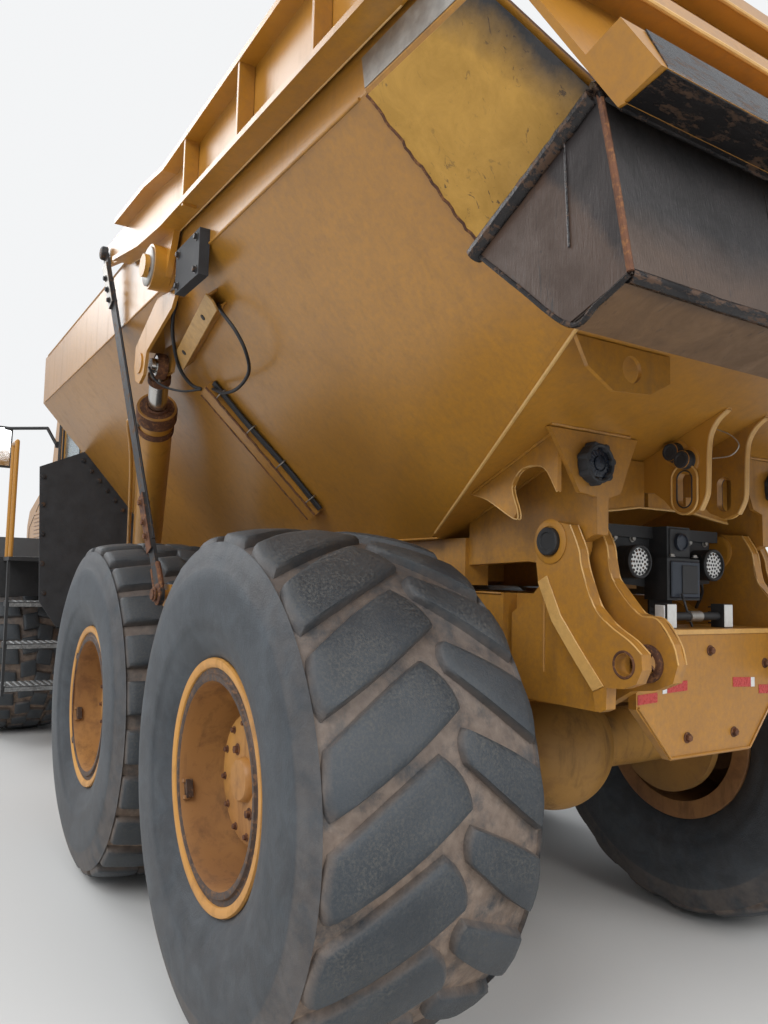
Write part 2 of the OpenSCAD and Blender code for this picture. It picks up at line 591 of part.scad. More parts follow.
// Cab
cab_y = cab_w / 2;
door_x0 = -860;
door_x1 = 120;
hinge_heights = [cab_floor_z + 340, roof_z - 420];
module cab_outer(t) plate_y([[-cab_back + t, cab_floor_z + t], [-cab_back + t, roof_z - 140 - t], [-cab_back + 40 + t, roof_z - 60 - t],
    [cab_front - 260 - t, roof_z - 60 - t], [cab_front - t, 2560], [cab_front - t, cab_floor_z + t]], 0, cab_w - 2 * t);
module cab_shell() color(ochre) at_front() {
    difference() {
        cab_outer(0);
        cab_outer(cab_t);
        // windows: rear, front, right side, and the door opening
        block([-cab_back - 50, 130 - cab_y, 2360], [-cab_back + 100, cab_y - 130, roof_z - 200]);
        block([cab_front - 320, 110 - cab_y, 2500], [cab_front + 50, cab_y - 110, roof_z - 180]);
        block([door_x0, -cab_y - 50, 2340], [cab_front - 330, 100 - cab_y, roof_z - 190]);
        block([door_x0, cab_y - 100, cab_floor_z + 60], [door_x1, cab_y + 50, roof_z - 170]);
        block([door_x1 + 60, cab_y - 100, 2340], [cab_front - 330, cab_y + 50, roof_z - 190]);
    }
    // lower halves of the door's hinges
    for (z = hinge_heights) {
        translate([door_x0 - 12, cab_y + 16, z - 60]) cylinder(h = 60, r = 14);
        block([door_x0 - 80, cab_y - 1, z - 60], [door_x0 - 12, cab_y + 12, z]);
    }
    plate_z([[-cab_back - 60, -cab_y - 20], [-cab_back - 60, cab_y + 20], [cab_front - 160, cab_y + 20],
        [cab_front - 60, cab_y - 120], [cab_front - 60, 120 - cab_y], [cab_front - 160, -cab_y - 20]], roof_z - 60 + seat, 60 - seat);
}
glass_t = 8;
module cab_glass() color("#6a8088", 0.5) at_front() {
    block([-cab_back + 15, 130 - cab_y + seat, 2360 + seat], [-cab_back + 15 + glass_t, cab_y - 130 - seat, roof_z - 200 - seat]);
    block([door_x0 + seat, -cab_y + 15, 2340 + seat], [cab_front - 330 - seat, -cab_y + 15 + glass_t, roof_z - 190 - seat]);
    block([door_x1 + 60 + seat, cab_y - 15 - glass_t, 2340 + seat], [cab_front - 330 - seat, cab_y - 15, roof_z - 190 - seat]);
    intersection() {
        plate_y([[cab_front - 15, 2500], [cab_front - 15, 2560], [cab_front - 275, roof_z - 60], [cab_front - 275 - glass_t, roof_z - 60],
            [cab_front - 15 - glass_t, 2560], [cab_front - 15 - glass_t, 2500]], 0, cab_w);
        block([cab_front - 320, 110 - cab_y + seat, 2500 + seat], [cab_front + 50, cab_y - 110 - seat, roof_z - 180 - seat]);
    }
}
module cab_interior() color("#3c3c40") at_front() {
    z0 = cab_floor_z + cab_t + seat;
    block([-680, -260, z0], [-160, 260, z0 + 330]);
    block([-700, -250, z0 + 330], [-180, 250, z0 + 450]);
    plate_y([[-700, z0 + 440], [-560, z0 + 440], [-640, z0 + 1050], [-740, z0 + 1050]], 0, 480);
    block([200, -420, z0], [cab_front - cab_t - seat, 420, z0 + 620]);
    bar([200, 0, z0 + 560], [60, 0, z0 + 720], 30);
    translate([60, 0, z0 + 720]) rotate([0, -40, 0]) rotate_extrude() translate([210, 0]) circle(r = 16, $fn = 24);
    translate([60, 0, z0 + 720]) rotate([0, -40, 0]) translate([-210, -20, -10]) cube([420, 40, 20]);
}
module front_fenders() color(black) at_front() both() {
    difference() {
        plate_y([[-960, 1240], [-960, 1560], [-620, 1740], [620, 1740], [900, 1560], [900, 1240], [875, 1240], [875, 1545],
            [610, 1715], [-610, 1715], [-935, 1545], [-935, 1240]], (cab_y + 20 + 1470) / 2, 1470 - cab_y - 20);
    }
    // mounts on the cab's side
    for (x = [-400, 300]) block([x, cab_y + seat, 1705], [x + 100, cab_y + 21, 1735]);
}
module steps() color(black) at_front() both() {
    for (i = [0 : 2]) block([-1330 + i * 20, 980, 500 + i * 330], [-1010, 1400, 540 + i * 330]);
    for (y = [960, 1400]) plate_y([[-1330, 470], [-1290, 470], [-1240, 1240], [-1200, 1550], [-1240, 1550], [-1290, 1240]], y + 10, 20);
    block([-1300, 960, 1530], [-960 - seat, 1420, 1560]);
}
module fuel_tank() color(ochre) at_front() both() block([-950, 390 + seat, 760], [-300, 675, 1180]);
module handrails() color(ochre) at_front() both() {
    pipe([[-1190, 1395, 1560 + seat], [-1190, 1395, 2500], [-990, 1395, 2500], [-990, 1395, 1560 + seat]], 18);
}
module mirrors() color(black) at_front() both() {
    block([cab_front - 300, cab_y + seat, 2700], [cab_front - 260, cab_y + 30, 2760]);
    pipe([[cab_front - 280, cab_y + 20, 2730], [cab_front - 200, cab_y + 100, 2900], [cab_front + 115, 1290, 2900]], 16);
    block([cab_front + 90, 1200, 2500], [cab_front + 140, 1420, 2920]);
}
// Stack on the right fender
module exhaust() color("#8a7a70") at_front() translate([590, -960, 1740 + seat]) {
    cylinder(h = 760, r = 105);
    translate([0, 0, 759]) cylinder(h = 60, r1 = 105, r2 = 62);
    cylinder(h = 1450, r = 62);
}
module headlamps() color("#d8d8d4") at_front() both()
    bar_x(655, 1560, hood_x1 + seat, hood_x1 + 30, 68);

// Hood and grille
hood_x0 = cab_front + 30;
hood_x1 = 2400;
module hood_body(t) plate_y([[hood_x0, 1540 - t * 21], [hood_x0, hood_z - t], [1500, hood_z - 60 - t],
    [hood_x1 - 120 - t, nose_z - t], [hood_x1 - t, nose_z - 160], [hood_x1 - t, 1240 - t * 9], [920, 1240 - t * 9]], 0, hood_w - 2 * t);
module hood() color(ochre) at_front() difference() {
    union() {
        difference() {
            hood_body(0);
            translate([-50, 0, 0]) hood_body(25);
            block([hood_x1 - 100, -560, 1330], [hood_x1 + 50, 560, 2000]);
        }
        both() bar_y(hood_hinge[0], hood_hinge[1], hood_w / 2 - 25, hood_w / 2, 42);
    }
    both() {
        bar_y(hood_hinge[0], hood_hinge[1], hood_w / 2 - 60, hood_w / 2 + 10, 16 + fit);
        // pocket in the nose for the hinge lug
        block([hood_hinge[0] - 40, hood_w / 2 - 67, 1200], [hood_hinge[0] + 35, hood_w / 2 - 26, hood_hinge[1] + 40]);
    }
}
module grille() color(black) at_front() {
    for (i = [0 : 8]) block([hood_x1 - 90, -560 + seat, 1340 + i * 72], [hood_x1 - 40, 560 - seat, 1370 + i * 72]);
    for (y = [-420, 0, 420]) block([hood_x1 - 100, y - 20, 1330 + seat], [hood_x1 - 89, y + 20, 2000 - seat]);
}
module cab_door() color(ochre) at_front() {
    difference() {
        block([door_x0 + 6, cab_y - cab_t, cab_floor_z + 66], [door_x1 - 6, cab_y - 1, roof_z - 176]);
        block([door_x0 + 90, cab_y - 100, 2300], [door_x1 - 90, cab_y + 50, roof_z - 250]);
    }
    for (z = hinge_heights) {
        translate([door_x0 - 12, cab_y + 16, z + seat]) cylinder(h = 60, r = 14);
        block([door_x0 - 12, cab_y + 4, z + seat], [door_x0 + 70, cab_y + 12, z + 60]);
        block([door_x0 + 20, cab_y - 2, z + 5], [door_x0 + 70, cab_y + 5, z + 55]);
    }
}
module door_glass() color("#6a8088", 0.5) at_front()
    block([door_x0 + 90 + seat, cab_y - 30, 2300 + seat], [door_x1 - 90 - seat, cab_y - 30 + glass_t, roof_z - 250 - seat]);

// Wheels: half profiles as [radius, y], turned about the axle line
tyre_r = tyre_d / 2;
bead_r = rim_d / 2 - 56;
tyre_profile = [[bead_r + seat, -rim_w / 2 + 19], [rim_d / 2 + 8, -rim_w / 2 + 19], [rim_d / 2 + 40, -tyre_w / 2 + 22],
    [tyre_r * 0.70, -tyre_w / 2], [tyre_r * 0.82, -tyre_w / 2 + 5], [tyre_r - 90, -tyre_w / 2 + 14], [tyre_r - 30, -tyre_w / 2 + 34],
    [tyre_r - 10, -tyre_w / 2 + 60], [tyre_r, -tyre_w / 2 + 150]];
module revolve(half) rotate_extrude($fn = 96)
    polygon(concat(half, [for (i = [len(half) - 1 : -1 : 0]) [half[i][0], -half[i][1]]]));
// Tread: the carcass under the grooves, and on each side 20 blocks, half a pitch apart
lugs = 20;
lug_arc = 12.5;
module lug_ring(y0, y1, turn) translate([0, 0, y0]) linear_extrude(y1 - y0)
    polygon([for (i = [0 : lugs - 1], p = [[tyre_r - 60, -0.5], [tyre_r + 30, -0.5], [tyre_r + 30, 0.5], [tyre_r - 60, 0.5]])
        p[0] * [cos(i * 360 / lugs + turn + p[1] * lug_arc), sin(i * 360 / lugs + turn + p[1] * lug_arc)]]);
module tyre() rotate([-90, 0, 0]) {
    revolve([for (p = tyre_profile) [min(p[0], tyre_r - tread_depth), p[1]]]);
    intersection() {
        revolve(tyre_profile);
        union() {
            lug_ring(-tyre_w / 2 - 5, -24, 0);
            lug_ring(24, tyre_w / 2 + 5, 180 / lugs);
        }
    }
}
module rim() {
    w = rim_w / 2;
    r = rim_d / 2;
    // flanges and barrel with a gutter, then the hub's stepped cover and its bore
    rotate([-90, 0, 0]) rotate_extrude($fn = 96)
        polygon([[bead_r - 18, -w], [r, -w], [r, -w + 18], [bead_r, -w + 18], [bead_r, w - 18], [r, w - 18], [r, w],
            [r - 30, w - 4], [r - 33, w - 12], [bead_r + 4, w - 12], [bead_r, w - 2], [bead_r - 16, w - 2], [bead_r - 18, w - 14],
            [bead_r - 18, 110], [215, 110], [202, 205], [190, 218], [70, 222], [60, 246], [0.01, 248], [0.01, 70],
            [spindle_r + fit, 70], [spindle_r + fit, -60], [200, -60], [200, 60], [bead_r - 18, 80]]);
    // clamp of the lock ring
    rotate([0, 106, 0]) translate([-30, w - 46, bead_r - 40]) cube([60, 26, 32]);
}
module place_wheel(x, side) translate([x, side * hub_y, hub_z]) rotate([0, 0, side < 0 ? 180 : 0]) children();
module tyre_at(x, side) color(rubber) place_wheel(x, side) tyre();
module rim_at(x, side) color(ochre) place_wheel(x, side) rim();
module tyre_rear_left() tyre_at(xr, 1);
module tyre_rear_right() tyre_at(xr, -1);
module tyre_mid_left() tyre_at(xm, 1);
module tyre_mid_right() tyre_at(xm, -1);
module tyre_front_left() tyre_at(xf, 1);
module tyre_front_right() tyre_at(xf, -1);
module rim_rear_left() rim_at(xr, 1);
module rim_rear_right() rim_at(xr, -1);
module rim_mid_left() rim_at(xm, 1);
module rim_mid_right() rim_at(xm, -1);
module rim_front_left() rim_at(xf, 1);
module rim_front_right() rim_at(xf, -1);

// Cylinders: each frame has its foot at the origin, its rod along +Z and its pin along Y
function unit(v) = v / norm(v);
module aim(a, b, pin) {
    z = unit(b - a);
    y = unit(pin - (pin * z) * z);
    x = cross(y, z);
    multmatrix([[x[0], y[0], z[0], a[0]], [x[1], y[1], z[1], a[1]], [x[2], y[2], z[2], a[2]], [0, 0, 0, 1]]) children();
}
module eye(z, r, w) translate([0, -w / 2, z]) rotate([-90, 0, 0]) cylinder(h = w, r = r);
gland_l = 80;
piston_l = 90;
// Tube with an end gland, closed below, and room for a piston of bore radius b and a rod of radius q
module tube(l, r, b, q, start) difference() {
    union() {
        translate([0, 0, start]) cylinder(h = l - start, r = r);
        translate([0, 0, l - gland_l]) cylinder(h = gland_l, r = r * 1.15);
    }
    translate([0, 0, start + 60]) cylinder(h = l - start - 60 - gland_l, r = b + fit);
    translate([0, 0, start + 60]) cylinder(h = l, r = q + fit);
}
// Rod from its piston, which starts at p, to a neck and its eye
module shaft(l, b, q, p, eye_r, eye_w, neck) {
    translate([0, 0, p]) cylinder(h = piston_l, r = b);
    translate([0, 0, p]) cylinder(h = l - p - neck, r = q);
    if (neck > eye_r) translate([0, 0, l - neck - 10]) cylinder(h = neck, r = eye_w * 0.8);
    eye(l, eye_r, eye_w);
}
hoist_l = norm(hoist_eye - hoist_foot);
hoist_gap = 260;
module hoist_frame(side) translate([xr, 0, 0]) mirror([0, side < 0 ? 1 : 0, 0])
    aim(hoist_foot, hoist_eye, [0, 1, 0]) children();
module hoist_barrel(side) color(ochre) hoist_frame(side) difference() {
    union() {
        tube(hoist_l - hoist_gap, 80, 66, 44, 60);
        eye(0, 85, 64);
    }
    sphere(r = ball_r + fit);
    eye(0, 46, 200);
}
module hoist_rod(side) color("silver") {
    hoist_frame(side) shaft(hoist_l, 66, 44, 125, 40, 20, 50);
    // eye boss and the head of its pin
    translate([xr, 0, 0]) mirror([0, side < 0 ? 1 : 0, 0]) {
        bar_y(hoist_eye[0], hoist_eye[2], hoist_eye[1] - 21, hoist_eye[1] + 21, 56);
        translate(hoist_eye) sphere(r = hoist_eye_w / 2);
        bar_y(hoist_eye[0], hoist_eye[2], hoist_eye[1], hoist_eye[1] + hoist_eye_w / 2 + 17, 32);
    }
}
module hoist_barrel_left() hoist_barrel(1);
module hoist_barrel_right() hoist_barrel(-1);
module hoist_rod_left() hoist_rod(1);
module hoist_rod_right() hoist_rod(-1);
steer_foot = [hitch_x + 1000, 240, hitch_z + 260];
steer_eye = [hitch_x - 120, 310, hitch_z + 260];
steer_pin_r = 22;
steer_eye_w = 56;
steer_gap = 370;
module steer_frame(side) mirror([0, side < 0 ? 1 : 0, 0]) aim(steer_foot, steer_eye, [0, 0, 1]) children();
module steer_barrel(side) color(ochre) steer_frame(side) difference() {
    union() {
        tube(norm(steer_eye - steer_foot) - steer_gap, 45, 36, 25, 35);
        eye(0, 50, 50);
    }
    eye(0, steer_pin_r + fit, 200);
}
module steer_rod(side) color("silver") steer_frame(side)
    shaft(norm(steer_eye - steer_foot), 36, 25, 330, 48, steer_eye_w, 38);
module steer_barrel_left() steer_barrel(1);
module steer_barrel_right() steer_barrel(-1);
module steer_rod_left() steer_rod(1);
module steer_rod_right() steer_rod(-1);

// Drawn pieces
rear_frame();
mid_axle();
rear_axle();
tandem_beams();
drive_shafts();
tail_lights();
straps();
hitch_knuckle();
front_frame();
front_axle();
bumper();
engine_block();
cab_shell();
cab_glass();
cab_interior();
front_fenders();
steps();
fuel_tank();
handrails();
mirrors();
exhaust();
headlamps();
hood();
grille();
cab_door();
door_glass();
tyre_rear_left();
tyre_rear_right();
tyre_mid_left();
tyre_mid_right();
tyre_front_left();
tyre_front_right();
rim_rear_left();
rim_rear_right();
rim_mid_left();
rim_mid_right();
rim_front_left();
rim_front_right();
bin();
body_frame();
body_lamps();
tail_lip();
mudguards();
tailgate();
hoist_barrel_left();
hoist_barrel_right();
hoist_rod_left();
hoist_rod_right();
steer_barrel_left();
steer_barrel_right();
steer_rod_left();
steer_rod_right();
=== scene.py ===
import itertools
import math
import random

import bmesh
import bpy
from mathutils import Matrix, Vector


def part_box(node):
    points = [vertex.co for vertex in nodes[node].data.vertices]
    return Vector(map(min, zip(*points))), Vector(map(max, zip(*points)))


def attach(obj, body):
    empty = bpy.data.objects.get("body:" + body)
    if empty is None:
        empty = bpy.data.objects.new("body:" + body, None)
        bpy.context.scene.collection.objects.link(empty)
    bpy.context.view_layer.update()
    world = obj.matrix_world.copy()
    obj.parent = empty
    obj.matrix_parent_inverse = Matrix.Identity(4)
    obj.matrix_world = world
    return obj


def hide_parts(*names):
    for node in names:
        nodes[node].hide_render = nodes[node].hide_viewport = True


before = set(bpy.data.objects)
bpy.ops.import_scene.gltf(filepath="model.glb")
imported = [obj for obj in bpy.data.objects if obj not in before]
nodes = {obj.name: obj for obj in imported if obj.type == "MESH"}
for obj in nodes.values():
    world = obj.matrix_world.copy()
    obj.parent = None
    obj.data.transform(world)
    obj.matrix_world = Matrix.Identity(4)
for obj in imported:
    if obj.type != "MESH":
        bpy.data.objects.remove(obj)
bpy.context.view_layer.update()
random.seed(7)

SIDES = ((1, "left"), (-1, "right"))
WHEELS = [(pos, side) for pos in ("rear", "mid", "front") for side in ("left", "right")]


def centre(node):
    low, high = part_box(node)
    return [(low[i] + high[i]) / 2 for i in range(3)]


XR, HUB_Y, HUB_Z = centre("tyre_rear_left")
XF = centre("tyre_front_left")[0]
WHEEL_X = {"rear": XR, "mid": centre("tyre_mid_left")[0], "front": XF}


# Materials

class Shader:
    """A node material, with a short call for each kind of node."""

    def __init__(self, name):
        self.mat = bpy.data.materials.new(name)
        self.mat.use_nodes = True
        self.nt = self.mat.node_tree
        self.nt.nodes.clear()
        out = self.node("OutputMaterial")
        self.bsdf = self.node("BsdfPrincipled")
        self.link(self.bsdf.outputs[0], out.inputs[0])
        self.vec = self.coords()

    def node(self, kind):
        return self.nt.nodes.new("ShaderNode" + kind)

    def link(self, a, b):
        self.nt.links.new(a, b)

    def fill(self, sock, value):
        if isinstance(value, (int, float)):
            sock.default_value = value
        elif isinstance(value, (tuple, list)):
            sock.default_value = (*value, 1)
        else:
            self.link(value, sock)

    def set(self, key, value):
        self.fill(self.bsdf.inputs[key], value)

    def coords(self, scale=(1, 1, 1)):
        mp = self.node("Mapping")
        mp.inputs["Scale"].default_value = scale
        self.link(self.node("TexCoord").outputs["Object"], mp.inputs[0])
        return mp.outputs[0]

    def noise(self, scale, detail=4.0, rough=0.55, distortion=0.0, vec=None):
        n = self.node("TexNoise")
        for key, value in (("Scale", scale), ("Detail", detail), ("Roughness", rough), ("Distortion", distortion)):
            n.inputs[key].default_value = value
        self.link(vec or self.vec, n.inputs["Vector"])
        return n.outputs["Fac"]

    def step(self, fac, low, high, a=0.0, b=1.0):
        """Goes from a to b while fac goes from low to high."""
        r = self.node("ValToRGB")
        for el, pos, col in zip(r.color_ramp.elements, (low, high), (a, b)):
            el.position = pos
            el.color = (col, col, col, 1)
        self.link(fac, r.inputs[0])
        return r.outputs[0]

    def mix(self, fac, a, b):
        m = self.node("Mix")
        m.data_type = "RGBA"
        for i, value in ((0, fac), (6, a), (7, b)):
            self.fill(m.inputs[i], value)
        return m.outputs[2]

    def math(self, op, a, b, clamp=False):
        m = self.node("Math")
        m.operation = op
        m.use_clamp = clamp
        self.fill(m.inputs[0], a)
        self.fill(m.inputs[1], b)
        return m.outputs[0]

    def mul(self, a, b):
        return self.math("MULTIPLY", a, b)

    def add(self, a, b):
        return self.math("ADD", a, b)

    def attribute(self, name):
        at = self.node("Attribute")
        at.attribute_name = name
        return at.outputs["Fac"]

    def bump(self, height, strength, distance):
        b = self.node("Bump")
        b.inputs["Strength"].default_value = strength
        b.inputs["Distance"].default_value = distance
        self.link(height, b.inputs["Height"])
        self.link(b.outputs[0], self.bsdf.inputs["Normal"])

    def along(self, direction, start, end, wobble, scale):
        """0 before start and 1 after end, along a direction in metres, with an uneven border."""
        dot = self.node("VectorMath")
        dot.operation = "DOT_PRODUCT"
        dot.inputs[1].default_value = direction
        self.link(self.node("TexCoord").outputs["Object"], dot.inputs[0])
        uneven = self.mul(self.math("SUBTRACT", self.noise(scale, 6, 0.65), 0.5), wobble)
        d = self.add(dot.outputs["Value"], uneven)
        return self.math("MULTIPLY", self.math("SUBTRACT", d, start), 1 / (end - start), True)


def paint(name, base, dark, dirt=(0.12, 0.075, 0.04), dirt_amount=0.35, rough=0.38, rust=0.0, coat=0.25):
    sh = Shader(name)
    col = sh.mix(sh.step(sh.noise(1.3, 3), 0.35, 0.7), base, dark)
    fine = sh.step(sh.noise(45, 5, 0.7), 0.35, 0.75)
    col = sh.mix(sh.mul(fine, 0.10), col, dark)
    runs = sh.step(sh.noise(5.0, 6, 0.65, vec=sh.coords((3.0, 3.0, 0.5))), 0.52, 0.78)
    film = sh.mul(runs, dirt_amount)
    col = sh.mix(film, col, dirt)
    chips = sh.mul(sh.step(sh.noise(70, 3, 0.75), 0.70, 0.73), sh.step(sh.noise(5, 3), 0.5, 0.62))
    chips = sh.mul(chips, 0.25 + rust)
    col = sh.mix(chips, col, (0.06, 0.03, 0.018))
    wear = sh.step(sh.node("NewGeometry").outputs["Pointiness"], 0.535, 0.60)
    col = sh.mix(sh.mul(sh.mul(wear, 0.35 + rust), fine), col, (0.16, 0.09, 0.05))
    if rust:
        blotch = sh.step(sh.noise(9, 7, 0.7, 0.4), 0.50, 0.66)
        col = sh.mix(sh.mul(blotch, rust), col, (0.13, 0.055, 0.022))
    sh.set("Base Color", col)
    sh.set("Roughness", sh.step(sh.add(film, chips), 0.0, 0.6, rough, min(1.0, rough + 0.35)))
    sh.set("Specular IOR Level", 0.45)
    sh.set("Coat Weight", coat)
    sh.set("Coat Roughness", 0.25)
    sh.bump(sh.noise(160, 3, 0.6), 0.06, 0.003)
    return sh.mat


def worn_metal(name, a, b, c, rough=0.5, metallic=0.6, stretch=(1, 1, 1), scale=7):
    sh = Shader(name)
    vec = sh.coords(stretch)
    col = sh.mix(sh.step(sh.noise(scale, 7, 0.68, 0.3, vec), 0.38, 0.62), a, b)
    scratches = sh.step(sh.noise(scale * 3.4, 6, 0.75, vec=vec), 0.53, 0.60)
    sh.set("Base Color", sh.mix(scratches, col, c))
    sh.set("Metallic", metallic)
    sh.set("Roughness", sh.step(scratches, 0.0, 1.0, rough, rough + 0.25))
    sh.bump(sh.noise(60, 5, 0.7), 0.25, 0.006)
    return sh.mat


def plain(name, col, rough=0.6, metallic=0.0, vary=0.25, scale=30, bump=0.1):
    sh = Shader(name)
    f = sh.step(sh.noise(scale, 5, 0.65), 0.3, 0.75)
    dark = tuple(c * (1 - vary) for c in col)
    light = tuple(min(1, c * (1 + vary) + 0.006) for c in col)
    sh.set("Base Color", sh.mix(f, dark, light))
    sh.set("Metallic", metallic)
    sh.set("Roughness", sh.step(f, 0.0, 1.0, rough, min(1, rough + 0.15)))
    sh.bump(sh.noise(scale * 5, 3, 0.6), bump, 0.003)
    return sh.mat


def tyre_rubber():
    sh = Shader("tyre_rubber_worn")
    base = sh.mix(sh.step(sh.noise(4, 4), 0.35, 0.7), (0.018, 0.024, 0.031), (0.034, 0.042, 0.051))
    mud = sh.attribute("mud")
    top = sh.attribute("tread")
    # stone-chipped speckle on the tread blocks
    grain = sh.step(sh.noise(130, 6, 0.8), 0.46, 0.62)
    broad = sh.step(sh.noise(5.5, 4, 0.6), 0.32, 0.62, 0.15)
    speck = sh.mul(sh.mul(grain, broad), top)
    col = sh.mix(sh.mul(speck, 0.50), base, (0.15, 0.14, 0.12))
    # brushed streaks and dust on the walls
    side = sh.math("SUBTRACT", 1.0, top, True)
    film = sh.step(sh.noise(11, 6, 0.72, 0.8), 0.42, 0.75)
    col = sh.mix(sh.mul(film, sh.mul(side, 0.28)), col, (0.11, 0.14, 0.165))
    clods = sh.step(sh.noise(9, 6, 0.7), 0.30, 0.52)
    earth = sh.mix(sh.step(sh.noise(30, 5), 0.3, 0.7), (0.20, 0.135, 0.095), (0.34, 0.25, 0.185))
    sh.set("Base Color", sh.mix(sh.mul(mud, clods), col, earth))
    sh.set("Roughness", sh.step(sh.add(speck, sh.mul(mud, 0.6)), 0.0, 0.8, 0.46, 0.85))
    sh.set("Specular IOR Level", 0.55)
    sh.bump(sh.add(sh.noise(150, 5, 0.75), sh.mul(sh.noise(28, 4), 0.6)), 0.38, 0.006)
    return sh.mat


def glass(name, tint):
    sh = Shader(name)
    f = sh.step(sh.noise(8, 4), 0.4, 0.8)
    sh.set("Base Color", sh.mix(f, tint, tuple(min(1, c * 1.25) for c in tint)))
    sh.set("Roughness", sh.step(f, 0.0, 1.0, 0.03, 0.14))
    sh.set("Transmission Weight", 0.75)
    sh.set("Alpha", 0.55)
    return sh.mat


def scraped(name, skin, metal, marks, mask, stretch=(1, 1, 1), rough=0.40, share=0.45, metallic=0.25):
    """Paint worn down to dark metal where the mask is high, with scratches over both."""
    sh = Shader(name)
    worn = sh.along(*mask)
    broad = sh.step(sh.noise(9, 7, 0.72, 0.5), 0.36, 0.62)
    col = sh.mix(sh.mul(broad, share), skin, tuple(c * 0.55 for c in skin))
    col = sh.mix(worn, col, sh.mix(broad, metal, tuple(c * 0.5 for c in metal)))
    vec = sh.coords(stretch)
    lines = sh.mul(sh.step(sh.noise(22, 5, 0.7, 1.2, vec), 0.60, 0.64), sh.step(sh.noise(4, 4), 0.42, 0.58))
    sh.set("Base Color", sh.mix(sh.mul(lines, 0.85), col, marks))
    sh.set("Metallic", sh.mul(worn, metallic))
    sh.set("Roughness", sh.step(broad, 0.0, 1.0, rough, rough + 0.22))
    sh.bump(sh.noise(50, 5, 0.75, vec=vec), 0.3, 0.004)
    return sh.mat


def border(x, z, start, end, wobble, scale):
    """Mask along a direction in the x-z plane, its ends taken from the rear axle."""
    return (x, 0.0, z), x * XR + start, x * XR + end, wobble, scale


